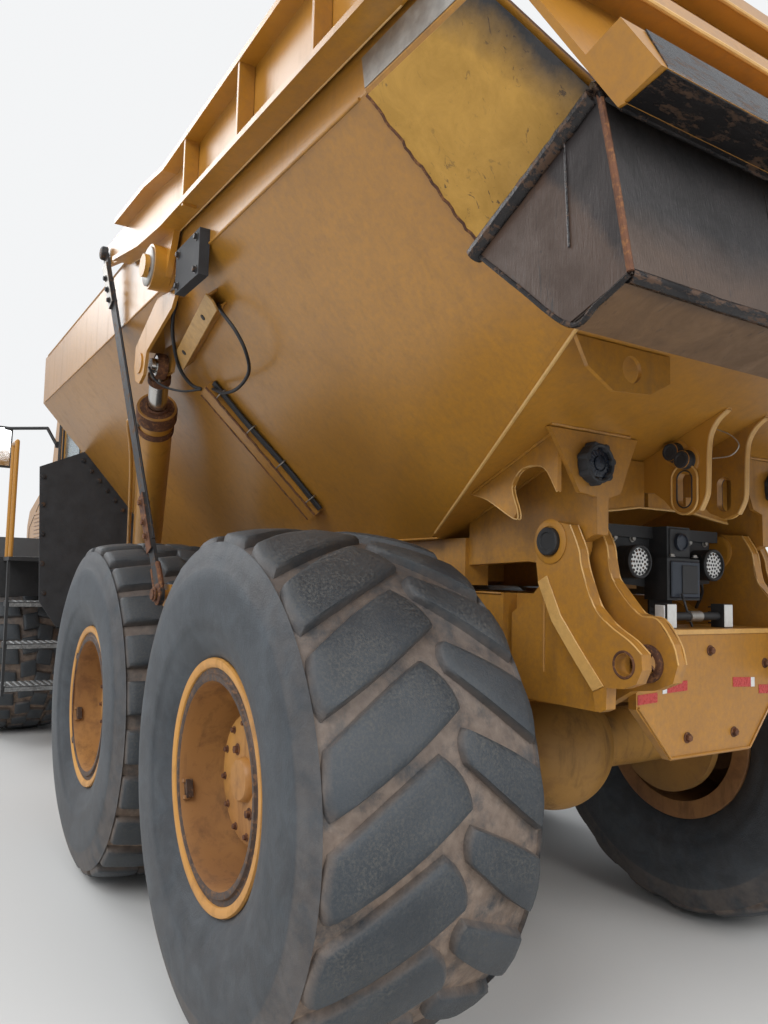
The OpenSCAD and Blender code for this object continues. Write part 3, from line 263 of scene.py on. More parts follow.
OCHRE = (0.48, 0.218, 0.024)
M = {
    "body": paint("ochre_body", OCHRE, (0.37, 0.165, 0.019), dirt_amount=0.25, rough=0.33, coat=0.45),
    "frame": paint("ochre_frame", (0.50, 0.23, 0.025), (0.38, 0.17, 0.021), dirt_amount=0.45, rough=0.42, rust=0.10),
    "axle": paint("ochre_axle", (0.40, 0.20, 0.04), (0.24, 0.13, 0.04),
                  dirt_amount=0.85, rough=0.55, rust=0.35, coat=0.05),
    "cab": paint("ochre_cab", OCHRE, (0.47, 0.21, 0.025), dirt_amount=0.15, rough=0.30, coat=0.5),
    "rim": paint("ochre_rim", (0.60, 0.29, 0.055), (0.48, 0.22, 0.045), (0.10, 0.05, 0.02), 0.4, 0.45, 0.30, 0.1),
    "rim_inner": paint("rim_rusty", (0.42, 0.20, 0.055), (0.24, 0.11, 0.04), (0.05, 0.03, 0.02), 0.7, 0.6, 0.55, 0.0),
    "hub": paint("ochre_hub_cover", (0.50, 0.25, 0.05), (0.36, 0.16, 0.04), (0.09, 0.04, 0.02), 0.7, 0.5, 0.45, 0.05),
    # edge: a lighter copy of the ochre for painted highlights on lit edges, also used on the worn ring round the oblong
    # hole
    "edge": paint("ochre_bright_edge", (0.70, 0.44, 0.16), (0.58, 0.32, 0.09), dirt_amount=0.3, rough=0.35),
    "pale": paint("ochre_sunlit", (0.60, 0.36, 0.12), (0.50, 0.27, 0.07), dirt_amount=0.3, rough=0.4),
    "lip": worn_metal("scraped_lip", (0.030, 0.020, 0.016), (0.10, 0.075, 0.06), (0.20, 0.105, 0.05), 0.38, 0.55,
                      (1.0, 0.35, 1.6), 6),
    "dark_steel": worn_metal("dark_steel", (0.028, 0.030, 0.034), (0.055, 0.05, 0.048), (0.12, 0.065, 0.035), 0.5, 0.5,
                             scale=9),
    "lock_ring": worn_metal("lock_ring_steel", (0.05, 0.032, 0.026), (0.09, 0.06, 0.045), (0.2, 0.11, 0.06), 0.5, 0.4,
                            scale=16),
    "rust": worn_metal("rusty_iron", (0.14, 0.055, 0.025), (0.07, 0.03, 0.018), (0.26, 0.12, 0.05),
                       0.75, 0.25, scale=18),
    "cast": worn_metal("cast_iron", (0.16, 0.155, 0.15), (0.10, 0.10, 0.10), (0.2, 0.15, 0.1), 0.6, 0.4, scale=8),
    "stack": worn_metal("stack_steel", (0.24, 0.19, 0.15), (0.14, 0.09, 0.07), (0.34, 0.27, 0.2),
                        0.45, 0.8, (1, 1, 0.4), 6),
    "bead": worn_metal("bead_black_wet", (0.012, 0.011, 0.012), (0.03, 0.026, 0.025), (0.09, 0.05, 0.03), 0.22, 0.5,
                       (1, 0.3, 1), 12),
    "galv": worn_metal("galvanised_tread", (0.32, 0.33, 0.33), (0.20, 0.20, 0.20), (0.42, 0.42, 0.41),
                       0.45, 0.8, scale=20),
    "black": plain("black_plastic", (0.016, 0.016, 0.017), 0.5),
    "rubber": plain("black_rubber", (0.022, 0.023, 0.026), 0.62, 0.0, 0.3, 12, 0.2),
    "hose": plain("hose_rubber", (0.012, 0.012, 0.014), 0.45, 0.0, 0.2, 60, 0.1),
    "chrome": plain("polished_rod", (0.62, 0.60, 0.57), 0.16, 1.0, 0.06, 20, 0.02),
    "steel": plain("bare_steel", (0.38, 0.36, 0.33), 0.38, 0.9, 0.2, 35, 0.1),
    "red": plain("red_lens", (0.42, 0.035, 0.03), 0.22, 0.0, 0.15, 90, 0.25),
    "white": plain("white_lens", (0.62, 0.62, 0.60), 0.3, 0.0, 0.08, 60, 0.15),
    "seat": plain("seat_fabric", (0.045, 0.045, 0.05), 0.85, 0.0, 0.3, 140, 0.5),
    "dark_lens": plain("dark_blue_lens", (0.010, 0.014, 0.024), 0.14, 0.0, 0.5, 30, 0.2),
    "pink": plain("faded_red_lens", (0.45, 0.12, 0.10), 0.25, 0.0, 0.35, 60, 0.25),
    "navy": plain("sensor_cover", (0.018, 0.024, 0.036), 0.28, 0.0, 0.2, 40, 0.1),
    "mirror": plain("mirror_glass", (0.75, 0.77, 0.78), 0.06, 1.0, 0.03, 8, 0.01),
    "amber": plain("amber_lens", (0.62, 0.20, 0.015), 0.2, 0.0, 0.15, 80, 0.2),
    "tyre": tyre_rubber(),
    "window": glass("window_glass", (0.32, 0.40, 0.42)),
    "lamp": glass("lamp_glass", (0.8, 0.82, 0.8)),
    "doubler": scraped("scraped_doubler", (0.56, 0.30, 0.045), (0.045, 0.043, 0.045), (0.05, 0.03, 0.02),
                       border(-0.8, 0.6, 2.43, 2.53, 0.14, 5), (1.4, 1.4, 0.25)),
    "lip_end": scraped("lip_end_plate", (0.050, 0.024, 0.012), (0.022, 0.015, 0.014), (0.012, 0.008, 0.007),
                       border(-0.8, 0.6, 2.376, 2.4, 0.12, 6), (3.0, 1.0, 0.5), 0.36),
    "lip_rear": scraped("lip_rear_face", (0.070, 0.040, 0.024), (0.048, 0.044, 0.044), (0.02, 0.015, 0.013),
                        border(0.0, 1.0, 2.02, 2.12, 0.12, 4), (4.0, 4.0, 0.35), 0.34, 0.5, 0.5),
    "lip_under": scraped("lip_underside", (0.16, 0.085, 0.035), (0.05, 0.035, 0.028), (0.018, 0.012, 0.01),
                         border(-1.0, 0.0, 1.45, 1.49, 0.06, 7), (1.0, 2.2, 1.0), 0.42, 0.7),
}

# The starts of the names of the nodes that have each look
LOOKS = {
    "frame": "rear_frame hitch_knuckle front_frame fuel_tank body_frame hoist_barrel steer_barrel",
    "axle": "mid_axle rear_axle front_axle tandem_beams",
    "dark_steel": "drive_shafts straps",
    "black": "tail_lights bumper front_fenders steps mirrors grille body_lamps",
    "cab": "cab_shell cab_door handrails hood",
    "window": "cab_glass door_glass",
    "body": "bin tailgate",
    "chrome": "hoist_rod steer_rod",
    "cast": "engine_block", "seat": "cab_interior", "stack": "exhaust", "lamp": "headlamps", "lip": "tail_lip",
    "rubber": "mudguards", "tyre": "tyre_", "rim": "rim_",
}
for name, obj in nodes.items():
    look = next(key for key, starts in LOOKS.items() if name.startswith(tuple(starts.split())))
    obj.data.materials.clear()
    obj.data.materials.append(M[look])
    obj.data.set_sharp_from_angle(angle=math.radians(35))


# Mesh helpers

def add_mesh(name, verts, faces, mats, face_mats=None, attrs=None):
    me = bpy.data.meshes.new(name)
    me.from_pydata([tuple(v) for v in verts], [], faces)
    for m in mats:
        me.materials.append(M[m])
    if face_mats:
        me.polygons.foreach_set("material_index", face_mats)
    for key, values in (attrs or {}).items():
        me.attributes.new(key, "FLOAT", "POINT").data.foreach_set("value", values)
    me.update()
    me.validate()
    ob = bpy.data.objects.new(name, me)
    bpy.context.collection.objects.link(ob)
    me.shade_smooth()
    return ob


def around(axis, seg, phase=0.0):
    """The axis as a unit vector, and seg directions at right angles to it."""
    ax = Vector(axis).normalized()
    side = ax.orthogonal().normalized()
    up = ax.cross(side)
    angles = [phase + 2 * math.pi * k / seg for k in range(seg)]
    return ax, [side * math.cos(a) + up * math.sin(a) for a in angles]


class Build:
    """Collects the points and faces of one joined mesh."""

    def __init__(self):
        self.v = []
        self.f = []
        self.m = []

    def add(self, verts, faces, mat=0):
        base = len(self.v)
        self.v.extend(verts)
        self.f.extend([tuple(base + i for i in f) for f in faces])
        self.m.extend([mat] * len(faces))

    def ring(self, start, axis, prof, seg=48, mat=0, phase=0.0, closed=True):
        """[radius, distance] points turned about the axis, with flat ends where closed."""
        ax, out = around(axis, seg, phase)
        n = len(prof)
        faces = []
        for k in range(seg):
            q = (k + 1) % seg
            for i in range(n - 1):
                faces.append((k * n + i, q * n + i, q * n + i + 1, k * n + i + 1))
        if closed:
            faces.append(tuple(k * n for k in range(seg)))
            faces.append(tuple(k * n + n - 1 for k in reversed(range(seg))))
        self.add([Vector(start) + ax * t + d * r for d in out for r, t in prof], faces, mat)

    def hoop(self, start, axis, prof, seg, mat):
        self.ring(start, axis, prof, seg, mat, 0.0, False)

    def turned(self, start, axis, prof, mats, seg):
        """A closed outline of [radius, distance] points turned about the axis, with a material for each edge."""
        ax, out = around(axis, seg)
        n = len(prof)
        base = len(self.v)
        self.v.extend([Vector(start) + ax * t + d * r for d in out for r, t in prof])
        for k in range(seg):
            q = (k + 1) % seg
            for i in range(n):
                j = (i + 1) % n
                self.f.append((base + k * n + i, base + q * n + i, base + q * n + j, base + k * n + j))
                self.m.append(mats[i])

    def bolt(self, pos, axis, r=0.016, h=0.014, mat=0, washer=True, turn=0.0):
        if washer:
            self.ring(pos, axis, [(r * 1.45, 0), (r * 1.45, h * 0.16), (r * 1.38, h * 0.22)], 20, mat)
        b = h * 0.2 if washer else 0
        self.ring(pos, axis, [(r, b), (r, b + h * 0.85), (r * 0.84, b + h)], 6, mat, turn)

    def tube(self, pts, r, seg=10, mat=0, caps=True):
        pts = [Vector(p) for p in pts]
        n = len(pts)
        tang = [(pts[min(n - 1, i + 1)] - pts[max(0, i - 1)]).normalized() for i in range(n)]
        ref = tang[0].orthogonal().normalized()
        verts = []
        for i in range(n):
            ref = (ref - tang[i] * ref.dot(tang[i])).normalized()
            up = tang[i].cross(ref)
            for k in range(seg):
                a = 2 * math.pi * k / seg
                verts.append(pts[i] + (ref * math.cos(a) + up * math.sin(a)) * r)
        faces = []
        for i in range(n - 1):
            for k in range(seg):
                q = (k + 1) % seg
                faces.append((i * seg + k, i * seg + q, (i + 1) * seg + q, (i + 1) * seg + k))
        if caps:
            faces.append(tuple(reversed(range(seg))))
            faces.append(tuple((n - 1) * seg + k for k in range(seg)))
        self.add(verts, faces, mat)

    def box(self, low, high, mat=0, bevel=0.003, turn=None):
        """A box with chamfered edges: three points at each corner, one for each axis."""
        lo = [min(p) for p in zip(low, high)]
        hi = [max(p) for p in zip(low, high)]
        b = min(bevel, *[(q - p) * 0.45 for p, q in zip(lo, hi)])
        verts = []
        for s in itertools.product((0, 1), repeat=3):
            for ax in range(3):
                p = [(hi[i] - b * (i != ax)) if s[i] else (lo[i] + b * (i != ax)) for i in range(3)]
                verts.append(Vector(p))
        faces = [(3 * n, 3 * n + 1, 3 * n + 2) for n in range(8)]
        step = (12, 6, 3)
        for ax in range(3):
            i, j = [k for k in range(3) if k != ax]
            for s in (0, step[ax]):
                faces.append((s + ax, s + step[i] + ax, s + step[i] + step[j] + ax, s + step[j] + ax))
            for k in (0, step[i], step[j], step[i] + step[j]):
                faces.append((k + i, k + step[ax] + i, k + step[ax] + j, k + j))
        self.add([turn @ v for v in verts] if turn else verts, faces, mat)

    def slab(self, pts, place, t0, t1, mat=0, bevel=1.5):
        """An outline of (u, v) points between t0 and t1, with its edges chamfered. place makes the point."""
        n = len(pts)
        area = sum(pts[i][0] * pts[(i + 1) % n][1] - pts[(i + 1) % n][0] * pts[i][1] for i in range(n))
        pts = [Vector(p) for p in (pts if area > 0 else pts[::-1])]
        inner = []
        for i in range(n):
            e0 = (pts[i] - pts[i - 1]).normalized()
            e1 = (pts[(i + 1) % n] - pts[i]).normalized()
            m = Vector((-e0.y - e1.y, e0.x + e1.x))
            inner.append(pts[i] + (m.normalized() if m.length > 1e-6 else Vector((-e0.y, e0.x))) * bevel)
        s = bevel if t1 > t0 else -bevel
        rows = [(inner, t0), (pts, t0 + s), (pts, t1 - s), (inner, t1)]
        faces = [tuple(reversed(range(n))), tuple(3 * n + i for i in range(n))]
        for k in range(3):
            for i in range(n):
                j = (i + 1) % n
                faces.append((k * n + i, k * n + j, (k + 1) * n + j, (k + 1) * n + i))
        self.add([place(p[0], p[1], t) for row, t in rows for p in row], faces, mat)

    def bar(self, place, x0, z0, x1, z1, depth, mat, bevel):
        """A rectangle on a face, raised by depth."""
        self.slab([(x0, z0), (x1, z0), (x1, z1), (x0, z1)], place, 0, depth, mat, bevel)

    def make(self, name, mats, body, sharp=35):
        ob = add_mesh(name, self.v, self.f, mats, self.m)
        bm = bmesh.new()
        bm.from_mesh(ob.data)
        bmesh.ops.recalc_face_normals(bm, faces=bm.faces)
        bm.to_mesh(ob.data)
        bm.free()
        ob.data.set_sharp_from_angle(angle=math.radians(sharp))
        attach(ob, body)
        return ob


# Tyres: a revolved carcass with blocks laid on it

low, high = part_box("tyre_rear_left")
TYRE_R = (high[2] - low[2]) / 2
TYRE_W = (high[1] - low[1]) / 2
TREAD_W = TYRE_W - 0.040
SEAT_R = 0.381


def crown(y):
    return TYRE_R - 0.030 * (min(abs(y), TREAD_W) / TREAD_W) ** 2.4


# Corners of a block as [degrees, share of the tread's half width]
ROCK = {
    "count": 20, "depth": 0.040, "k": 0.36,
    "blocks": [[(0, 1.0), (-16.0, 0.03), (-5.2, -0.27), (13.6, 1.0)],
               [(-1.8, -0.17), (8.0, -1.0), (21.6, -1.0), (5.0, -0.13)]],
}
TRACTION = {
    "count": 24, "depth": 0.042, "k": 0.10,
    "blocks": [[(0, 1.0), (0.5, 0.46), (10.6, 0.40), (10.4, 1.0)],
               [(-5.5, 0.38), (-7.5, 0.02), (2.6, -0.04), (4.6, 0.34)],
               [(7.5, -1.0), (8.0, -0.46), (18.1, -0.40), (17.9, -1.0)],
               [(2.0, -0.38), (0.0, -0.02), (10.1, 0.04), (12.1, -0.34)]],
}
STOPS = [-1, -0.93, -0.72, -0.36, 0, 0.36, 0.72, 0.93, 1]
# The wall as [height above the rim's seat, distance inside the widest place]
WALL = [(-.045, .075), (.004, .052), (.03, .030), (.07, .014), (.10, .0075), (.104, .0045), (.13, .001), (.19, 0),
        (.24, .002), (.275, .006), (.282, .0095), (.31, .016), (.335, .024), (.348, .030)]


def tyre_mesh(name, pattern, side, x0, y0, z0):
    verts = []
    faces = []
    mud = []
    tread = []

    def put(ang, y, r, m, t):
        a = math.radians(ang)
        verts.append((x0 + r * math.cos(a), y0 + side * y, z0 + r * math.sin(a)))
        mud.append(m * (0.25 + 0.75 * (0.5 - 0.5 * math.sin(a))))
        tread.append(t)

    depth = pattern["depth"]
    prof = [(SEAT_R + r, TYRE_W - y) for r, y in WALL] + [(TYRE_R - 0.058, TREAD_W + 0.006)]
    half = [(r, y, 0.25 if r > SEAT_R + 0.28 else 0.05, 0.0) for r, y in prof]
    for s in (1.0, 0.93, 0.8, 0.6, 0.4, 0.2, 0.0):
        half.append((crown(s * TREAD_W) - depth * (0.75 + 0.25 * s), s * TREAD_W, 1.0, 0.4))
    full = half + [(r, -y, m, t) for r, y, m, t in reversed(half[:-1])]
    seg = 144
    n = len(full)
    for k in range(seg):
        for r, y, m, t in full:
            put(360 * k / seg, y, r, m, t)
        q = (k + 1) % seg
        for i in range(n - 1):
            faces.append((k * n + i, k * n + i + 1, q * n + i + 1, q * n + i))
    g = len(STOPS)
    last = g - 1
    loop = [(i, 0) for i in range(g)] + [(last, j) for j in range(1, g)]
    loop += [(i, last) for i in range(last - 1, -1, -1)] + [(0, j) for j in range(last - 1, 0, -1)]
    for c, quad in itertools.product(range(pattern["count"]), pattern["blocks"]):
        jitter = random.uniform(-0.5, 0.5)
        base = len(verts)
        mid = [sum(p[i] for p in quad) / 4 for i in (0, 1)]

        def place(u, v, grow):
            """A point of the block as (degrees, y). Its corners are drawn in by k."""
            uu = u * math.sqrt(1 - pattern["k"] * v * v / 2)
            vv = v * math.sqrt(1 - pattern["k"] * u * u / 2)
            s, t = (uu + 1) / 2, (vv + 1) / 2
            parts = ((1 - s) * (1 - t), s * (1 - t), s * t, (1 - s) * t)
            a, q = [sum(w * p[i] for w, p in zip(parts, quad)) for i in (0, 1)]
            a = mid[0] + (a - mid[0]) * grow
            q = mid[1] + (q - mid[1]) * (1 + (grow - 1) * 0.5)
            return c * 360 / pattern["count"] + a + jitter * 0.4, q * TREAD_W

        for u, v in itertools.product(STOPS, STOPS):
            a, y = place(u, v, 1.0)
            e = max(abs(u), abs(v))
            rim = e > 0.99
            drop = 0.015 if rim else (0.0050 if e > 0.9 else (0.0012 if e > 0.7 else 0.0))
            wave = 0.0015 * math.sin(a * 0.7 + y * 40)
            put(a, y, crown(y) - drop - abs(wave), 0.35 if rim else 0.0, 0.45 if rim else 1.0)
        for i, j in itertools.product(range(last), range(last)):
            k = base + i * g + j
            faces.append((k, k + 1, k + g + 1, k + g))
        foot = len(verts)
        for i, j in loop:
            a, y = place(STOPS[i], STOPS[j], 1.10)
            y = max(-TREAD_W - 0.012, min(TREAD_W + 0.012, y))
            put(a, y, crown(y) - depth - 0.012, 0.9, 0.2)
        m = len(loop)
        for k in range(m):
            (i, j), (i2, j2) = loop[k], loop[(k + 1) % m]
            faces.append((base + i * g + j, base + i2 * g + j2, foot + (k + 1) % m, foot + k))
    ob = add_mesh(name, verts, faces, ["tyre"], None, {"mud": mud, "tread": tread})
    ob.data.set_sharp_from_angle(angle=math.radians(50))
    return ob


for pos, side in WHEELS:
    s = 1 if side == "left" else -1
    node = "tyre_%s_%s" % (pos, side)
    ob = tyre_mesh(node + "_detail", ROCK if pos == "rear" else TRACTION, s, WHEEL_X[pos], s * HUB_Y, HUB_Z)
    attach(ob, "wheel_%s_%s_body" % (pos, side))
    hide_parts(node)


# Rims: flange, gutter, lock ring, barrel and stepped hub cover, turned in one outline of [radius, distance]

FLANGE = [(.325, .317), (.372, .317), (.380, .3185), (.381, .326), (.3775, .3335), (.368, .335), (.356, .3325),
          (.3505, .329), (.3485, .3235)]
LOCK = [(.334, .323), (.331, .327), (.329, .3325), (.3235, .3333), (.319, .3325), (.313, .3315), (.3085, .329)]
BARREL = [(.307, .321), (.3055, .300), (.3035, .270), (.3015, .150), (.294, .117), (.282, .1105), (.240, .1105)]
COVER = [(.218, .1105), (.2145, .125), (.208, .165), (.203, .203), (.1985, .213), (.189, .218), (.150, .2195),
         (.130, .221), (.070, .222), (.066, .239), (.060, .2455), (.020, .2475), (.0005, .248)]
INNER = [(.0005, .070), (.1003, .070), (.1003, -.060), (.200, -.060), (.200, .060), (.302, .078), (.307, .068),
         (.307, -.333), (.312, -.335), (.378, -.335), (.381, -.332), (.381, -.320), (.378, -.317), (.325, -.317)]
RIM_PROF = FLANGE + LOCK + BARREL + COVER + INNER
RIM_MATS = [0] * (len(FLANGE) - 1) + [2] * len(LOCK) + [1] * len(BARREL) + [3] * len(COVER)
RIM_MATS += [1] * (len(RIM_PROF) - len(RIM_MATS))

for pos, side in WHEELS:
    s = 1 if side == "left" else -1
    out = (0, s, 0)
    hub = Vector((WHEEL_X[pos], s * HUB_Y, HUB_Z))
    at_hub = Matrix.Translation(hub)
    b = Build()
    b.turned(hub, out, RIM_PROF, RIM_MATS, 120)

    def spot(radius, degrees, y):
        a = math.radians(degrees)
        return hub + Vector((s * radius * math.sin(a), s * y, radius * math.cos(a)))

    for k in range(12):
        b.bolt(spot(.172, 30 * k + 8, .2192), out, 0.0085, 0.010, 4, True, 0.3 * k)
    for a in (40, 205, 300):
        b.bolt(spot(.105, a, .2212), out, 0.013, 0.012, 4)
    for k in range(20):
        b.bolt(spot(.262, 18 * k, .1105), out, 0.012, 0.018, 2, True, 0.2 * k)
    # clamp of the lock ring: a block and its two cheeks
    a = math.radians(106)
    up = Vector((s * math.sin(a), 0, math.cos(a)))
    turn = at_hub @ Matrix((Vector(out).cross(up), out, up)).transposed().to_4x4()
    b.box((-.030, .289, .286), (.030, .314, .316), 2, 0.002, turn)
    b.box((-.034, .300, .290), (-.020, .322, .318), 1, 0.002, turn)
    b.box((.020, .300, .290), (.034, .322, .318), 1, 0.002, turn)
    # valve stem and, on the middle wheels, two clips joined by a wire
    b.tube([spot(.300, 250, y) for y in (.16, .20, .24)] + [spot(.290, 250, .262)], 0.006, 8, 4)
    if pos == "mid":
        for a in (52, 128):
            turn = Matrix.Rotation(math.radians(a * s), 4, "Y")
            if s < 0:
                turn = turn @ Matrix.Rotation(math.pi, 4, "Z")
            b.box((-.014, .318, .320), (.014, .334, .352), 2, 0.002, at_hub @ turn)
        wire = [spot(.325 - 0.02 * math.sin(math.pi * k / 12), 52 + 76 * k / 12, .332) for k in range(13)]
        b.tube(wire, 0.0025, 6, 4)
    ob = b.make("rim_%s_%s_detail" % (pos, side), ["rim", "rim_inner", "lock_ring", "hub", "rust"],
                "wheel_%s_%s_body" % (pos, side), 32)
    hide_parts("rim_%s_%s" % (pos, side))


# Places in millimetres, from the ground under the rear axle and under the front axle

def P(x, y, z):
    return Vector((XR + x / 1000, y / 1000, z / 1000))


def F(x, y, z):
    return Vector((XF + x / 1000, y / 1000, z / 1000))


def on_y(y, s=1, at=P):
    return lambda u, v, t: at(u, s * (y + t), v)


def on_x(x):
    return lambda u, v, t: P(x + t, u, v)


# The body's sloped side: how far it leans out for each mm of height, and its normal
RUN = 875 / 1010
NORMAL_Y, NORMAL_Z = 0.756, -0.655


def side_y(z):
    return 525 + (z - 1600) * RUN


def on_slope(s):
    """Places points of the sloped side from x, z and the distance out along its normal."""
    return lambda u, v, t: P(u, s * (side_y(v) + t * NORMAL_Y), v + t * NORMAL_Z)


def smooth_path(pts, steps=8):
    """A curve through the points, with steps between each two."""
    pts = [Vector(p) for p in pts]
    ext = [pts[0] * 2 - pts[1]] + pts + [pts[-1] * 2 - pts[-2]]
    out = []
    for i in range(1, len(ext) - 2):
        a, b, c, d = ext[i - 1:i + 3]
        for k in range(steps):
            t = k / steps
            out.append(0.5 * ((2 * b) + (c - a) * t + (2 * a - 5 * b + 4 * c - d) * t * t
                              + (3 * b - a - 3 * c + d) * t ** 3))
    return out + [pts[-1]]


def in_plane(y, pts, steps=0):
    """Points of (x, z) in the plane at y, made smooth where steps are given."""
    pts = [P(x, y, z) for x, z in pts]
    return smooth_path(pts, steps) if steps else pts


def hose(name, pts, d, body, mat="hose"):
    pts = smooth_path(pts)
    cu = bpy.data.curves.new(name, "CURVE")
    cu.dimensions = "3D"
    sp = cu.splines.new("POLY")
    sp.points.add(len(pts) - 1)
    for i, p in enumerate(pts):
        sp.points[i].co = (*p, 1)
    cu.bevel_depth = d / 2
    cu.bevel_resolution = 3
    cu.use_fill_caps = True
    cu.materials.append(M[mat])
    ob = bpy.data.objects.new(name, cu)
    bpy.context.collection.objects.link(ob)
    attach(ob, body)
    tuple(pts[0])


# Rear frame: pin collars and caps, cheek facets, bushings, weld beads, reflective strips

CHEEK_OUT, CHEEK_IN, CHEEK_HALF = 482, 378, 20.2
RAIL_Y = 420.2
TAIL = on_x(-740.3)
OUTER_EDGE = [(-604, 1620), (-641, 1545), (-654, 1485), (-702, 1373), (-763, 1317), (-836, 1277), (-881, 1242)]
INNER_EDGE = [(-620, 1628), (-660, 1560), (-681, 1457), (-779, 1353), (-851, 1338), (-905, 1270), (-922, 1213)]
b = Build()
for s in (1, -1):
    out = (0, s, 0)
    b.ring(P(-520, s * 502.2, 1570), out, [(.072, 0), (.072, .003), (.066, .0055), (.050, .0055), (.0478, .003)], 48, 0)
    b.ring(P(-520, s * 502.5, 1570), out, [(.0455, 0), (.0455, .016), (.042, .0205), (.030, .0205), (.027, .0165),
                                           (.001, .0165)], 48, 1)
    b.ring(P(-520, s * (CHEEK_IN - CHEEK_HALF), 1570), (0, -s, 0),
           [(.060, 0), (.060, .006), (.050, .010), (.046, .010)], 40, 0)
    # facet along the front edge of the outer cheek, a slab in lighter ochre: painted highlight
    edge = [(-466, 1441), (-530, 1317), (-608, 1225), (-704, 1119)]
    b.slab(edge + [(x - 42, z + 20) for x, z in reversed(edge)], on_y(502.2, s), 0, 5, 4, 1.8)
    for y, way, r, r2, w in ((502.2, s, .041, .038, .004), (CHEEK_IN + CHEEK_HALF, s, .056, .051, .012),
                             (CHEEK_IN - CHEEK_HALF, -s, .056, .051, .016)):
        b.hoop(P(-818, s * y, 1208), (0, way, 0),
               [(.033, 0), (r, 0), (r, w - .003), (r2, w), (.036, w), (.033, w - .004)], 40, 2)
    # strips on the tail plate, red with pale outer ends
    b.slab([(s * 118, 1107), (s * 216, 1103), (s * 216, 1135), (s * 118, 1139)], TAIL, 0, -1.4, 3, 0.5)
    b.slab([(s * 217, 1103), (s * 238, 1102), (s * 238, 1134), (s * 217, 1135)], TAIL, 0, -1.4, 5, 0.5)
    b.slab([(s * 262, 1078), (s * 352, 1074), (s * 352, 1104), (s * 262, 1108)], TAIL, 0, -1.4, 3, 0.5)
    # rear edges of each cheek: thin tubes in lighter ochre, painted highlights on the bevels
    for y, edge in ((CHEEK_OUT, OUTER_EDGE), (CHEEK_IN, INNER_EDGE)):
        for dy in (-18, 18):
            b.tube(in_plane(s * (y + dy), edge, 4), 0.0028, 6, 4)
    # weld beads of the cheeks on the rail, and the rail's own seams
    for p, q in ((P(-446, s * 457, 1150), P(-446, s * 457, 1390)), (P(-190, s * 421, 1398), P(2300, s * 421, 1398)),
                 (P(-190, s * 421, 1023), P(2300, s * 421, 1023))):
        b.tube([p.lerp(q, k / 24) + Vector((0, s * random.uniform(0, .001), random.uniform(-.001, .001)))
                for k in range(25)], 0.0045, 6, 0)
    # bolts and plates on the rail's outer face
    for x, z in itertools.product((-120, 0, 120, 560, 680, 1180, 1300), (1120, 1300)):
        b.bolt(P(x, s * RAIL_Y, z), out, 0.014, 0.014, 2)
    for x in (520, 1240, 2050):
        b.bar(on_y(RAIL_Y, s), x, 1150, x + 90, 1340, 10, 0, 2)
    # nuts and washers on the strap and hoist pins
    b.ring(P(850, s * 1362.2, 1357), out, [(.030, 0), (.030, .004), (.022, .006), (.022, .012), (.001, .012)], 32, 2)
    b.ring(P(3300, s * 780.2, 950), out, [(.040, 0), (.040, .006), (.034, .009), (.001, .009)], 32, 2)
# front strip of the ledge in lighter ochre (painted highlight), bolts and seam of the tail plate
b.bar(TAIL, -350, 1283, 350, 1299, -6, 4, 1.5)
for y, z in ((-300, 1180), (300, 1180), (-120, 960), (120, 960), (0, 1230)):
    b.bolt(P(-740.3, y, z), (-1, 0, 0), 0.012, 0.012, 2)
b.tube([P(-743, y, z) for y, z in ((-350, 1066), (-203, 903), (203, 903), (350, 1066))], 0.004, 6, 0)
b.make("rear_frame_trim", ["frame", "black", "rust", "red", "edge", "white"], "rear_frame")

# Rear lamps: round work lights with cells, a covered sensor box, and two small work lights on the ledge
BACK = (-1, 0, 0)
b = Build()
for s in (1, -1):
    c = P(-600.3, s * 195, 1515)
    b.hoop(c, BACK, [(.055, 0), (.057, .003), (.057, .020), (.053, .024), (.048, .024), (.0465, .014)], 48, 0)
    b.ring(c, BACK, [(.0475, .010), (.046, .015), (.030, .0175), (.001, .018)], 48, 1)
    for r, n in ((0.0, 1), (0.014, 6), (0.027, 11), (0.039, 16)):
        for k in range(n):
            a = 2 * math.pi * k / n
            b.ring(c + Vector((0, r * math.cos(a), r * math.sin(a))), BACK,
                   [(.0046, .0150), (.0046, .0185), (.0028, .0198), (.001, .0198)], 6, 2, 0.3)
    for k in range(9):
        y = s * 195 - 40 + 10 * k
        b.box(P(-545, y - 2, 1470), P(-530, y + 2, 1560), 0, 0.0006)
    # lens, frame and fins of the small light
    b.box(P(-705.4, s * 125, 1302), P(-709, s * 170, 1378), 1, 0.003)
    b.box(P(-700, s * 170.3, 1305), P(-662, s * 176, 1375), 1, 0.002)
    for z in (1312, 1330, 1348, 1366):
        b.box(P(-654.6, s * 128, z), P(-640, s * 167, z + 5), 0, 0.0008)
    b.bolt(P(-640, s * 60, 1536), (0, 0, 1), 0.008, 0.008, 4)
b.tube([P(-680, y, 1338) for y in (-124, -60, 60, 124)], 0.014, 14, 0)
b.ring(P(-680, -30, 1338), (0, 1, 0), [(.018, 0), (.018, .060)], 24, 4)
b.box(P(-640.4, -78, 1398), P(-649, 70, 1522), 3, 0.006)
b.box(P(-648.8, -60, 1412), P(-653, 20, 1508), 0, 0.003)
b.box(P(-620.4, -50, 1536), P(-626, 50, 1634), 0, 0.003)
b.ring(P(-626, 0, 1588), BACK, [(.030, 0), (.030, .012), (.024, .016), (.022, .010), (.001, .009)], 32, 3)
for y in (-240, -150, 150, 240):
    b.bolt(P(-548, y, 1596), BACK, 0.009, 0.009, 4)
b.make("rear_lamp_trim", ["black", "white", "dark_steel", "navy", "steel"], "rear_frame")


def pair(name, path, d, body):
    """A hose on the left and the same on the right."""
    for s, side in SIDES:
        hose(name + side, [P(x, s * y, z) for x, y, z in path], d, body)


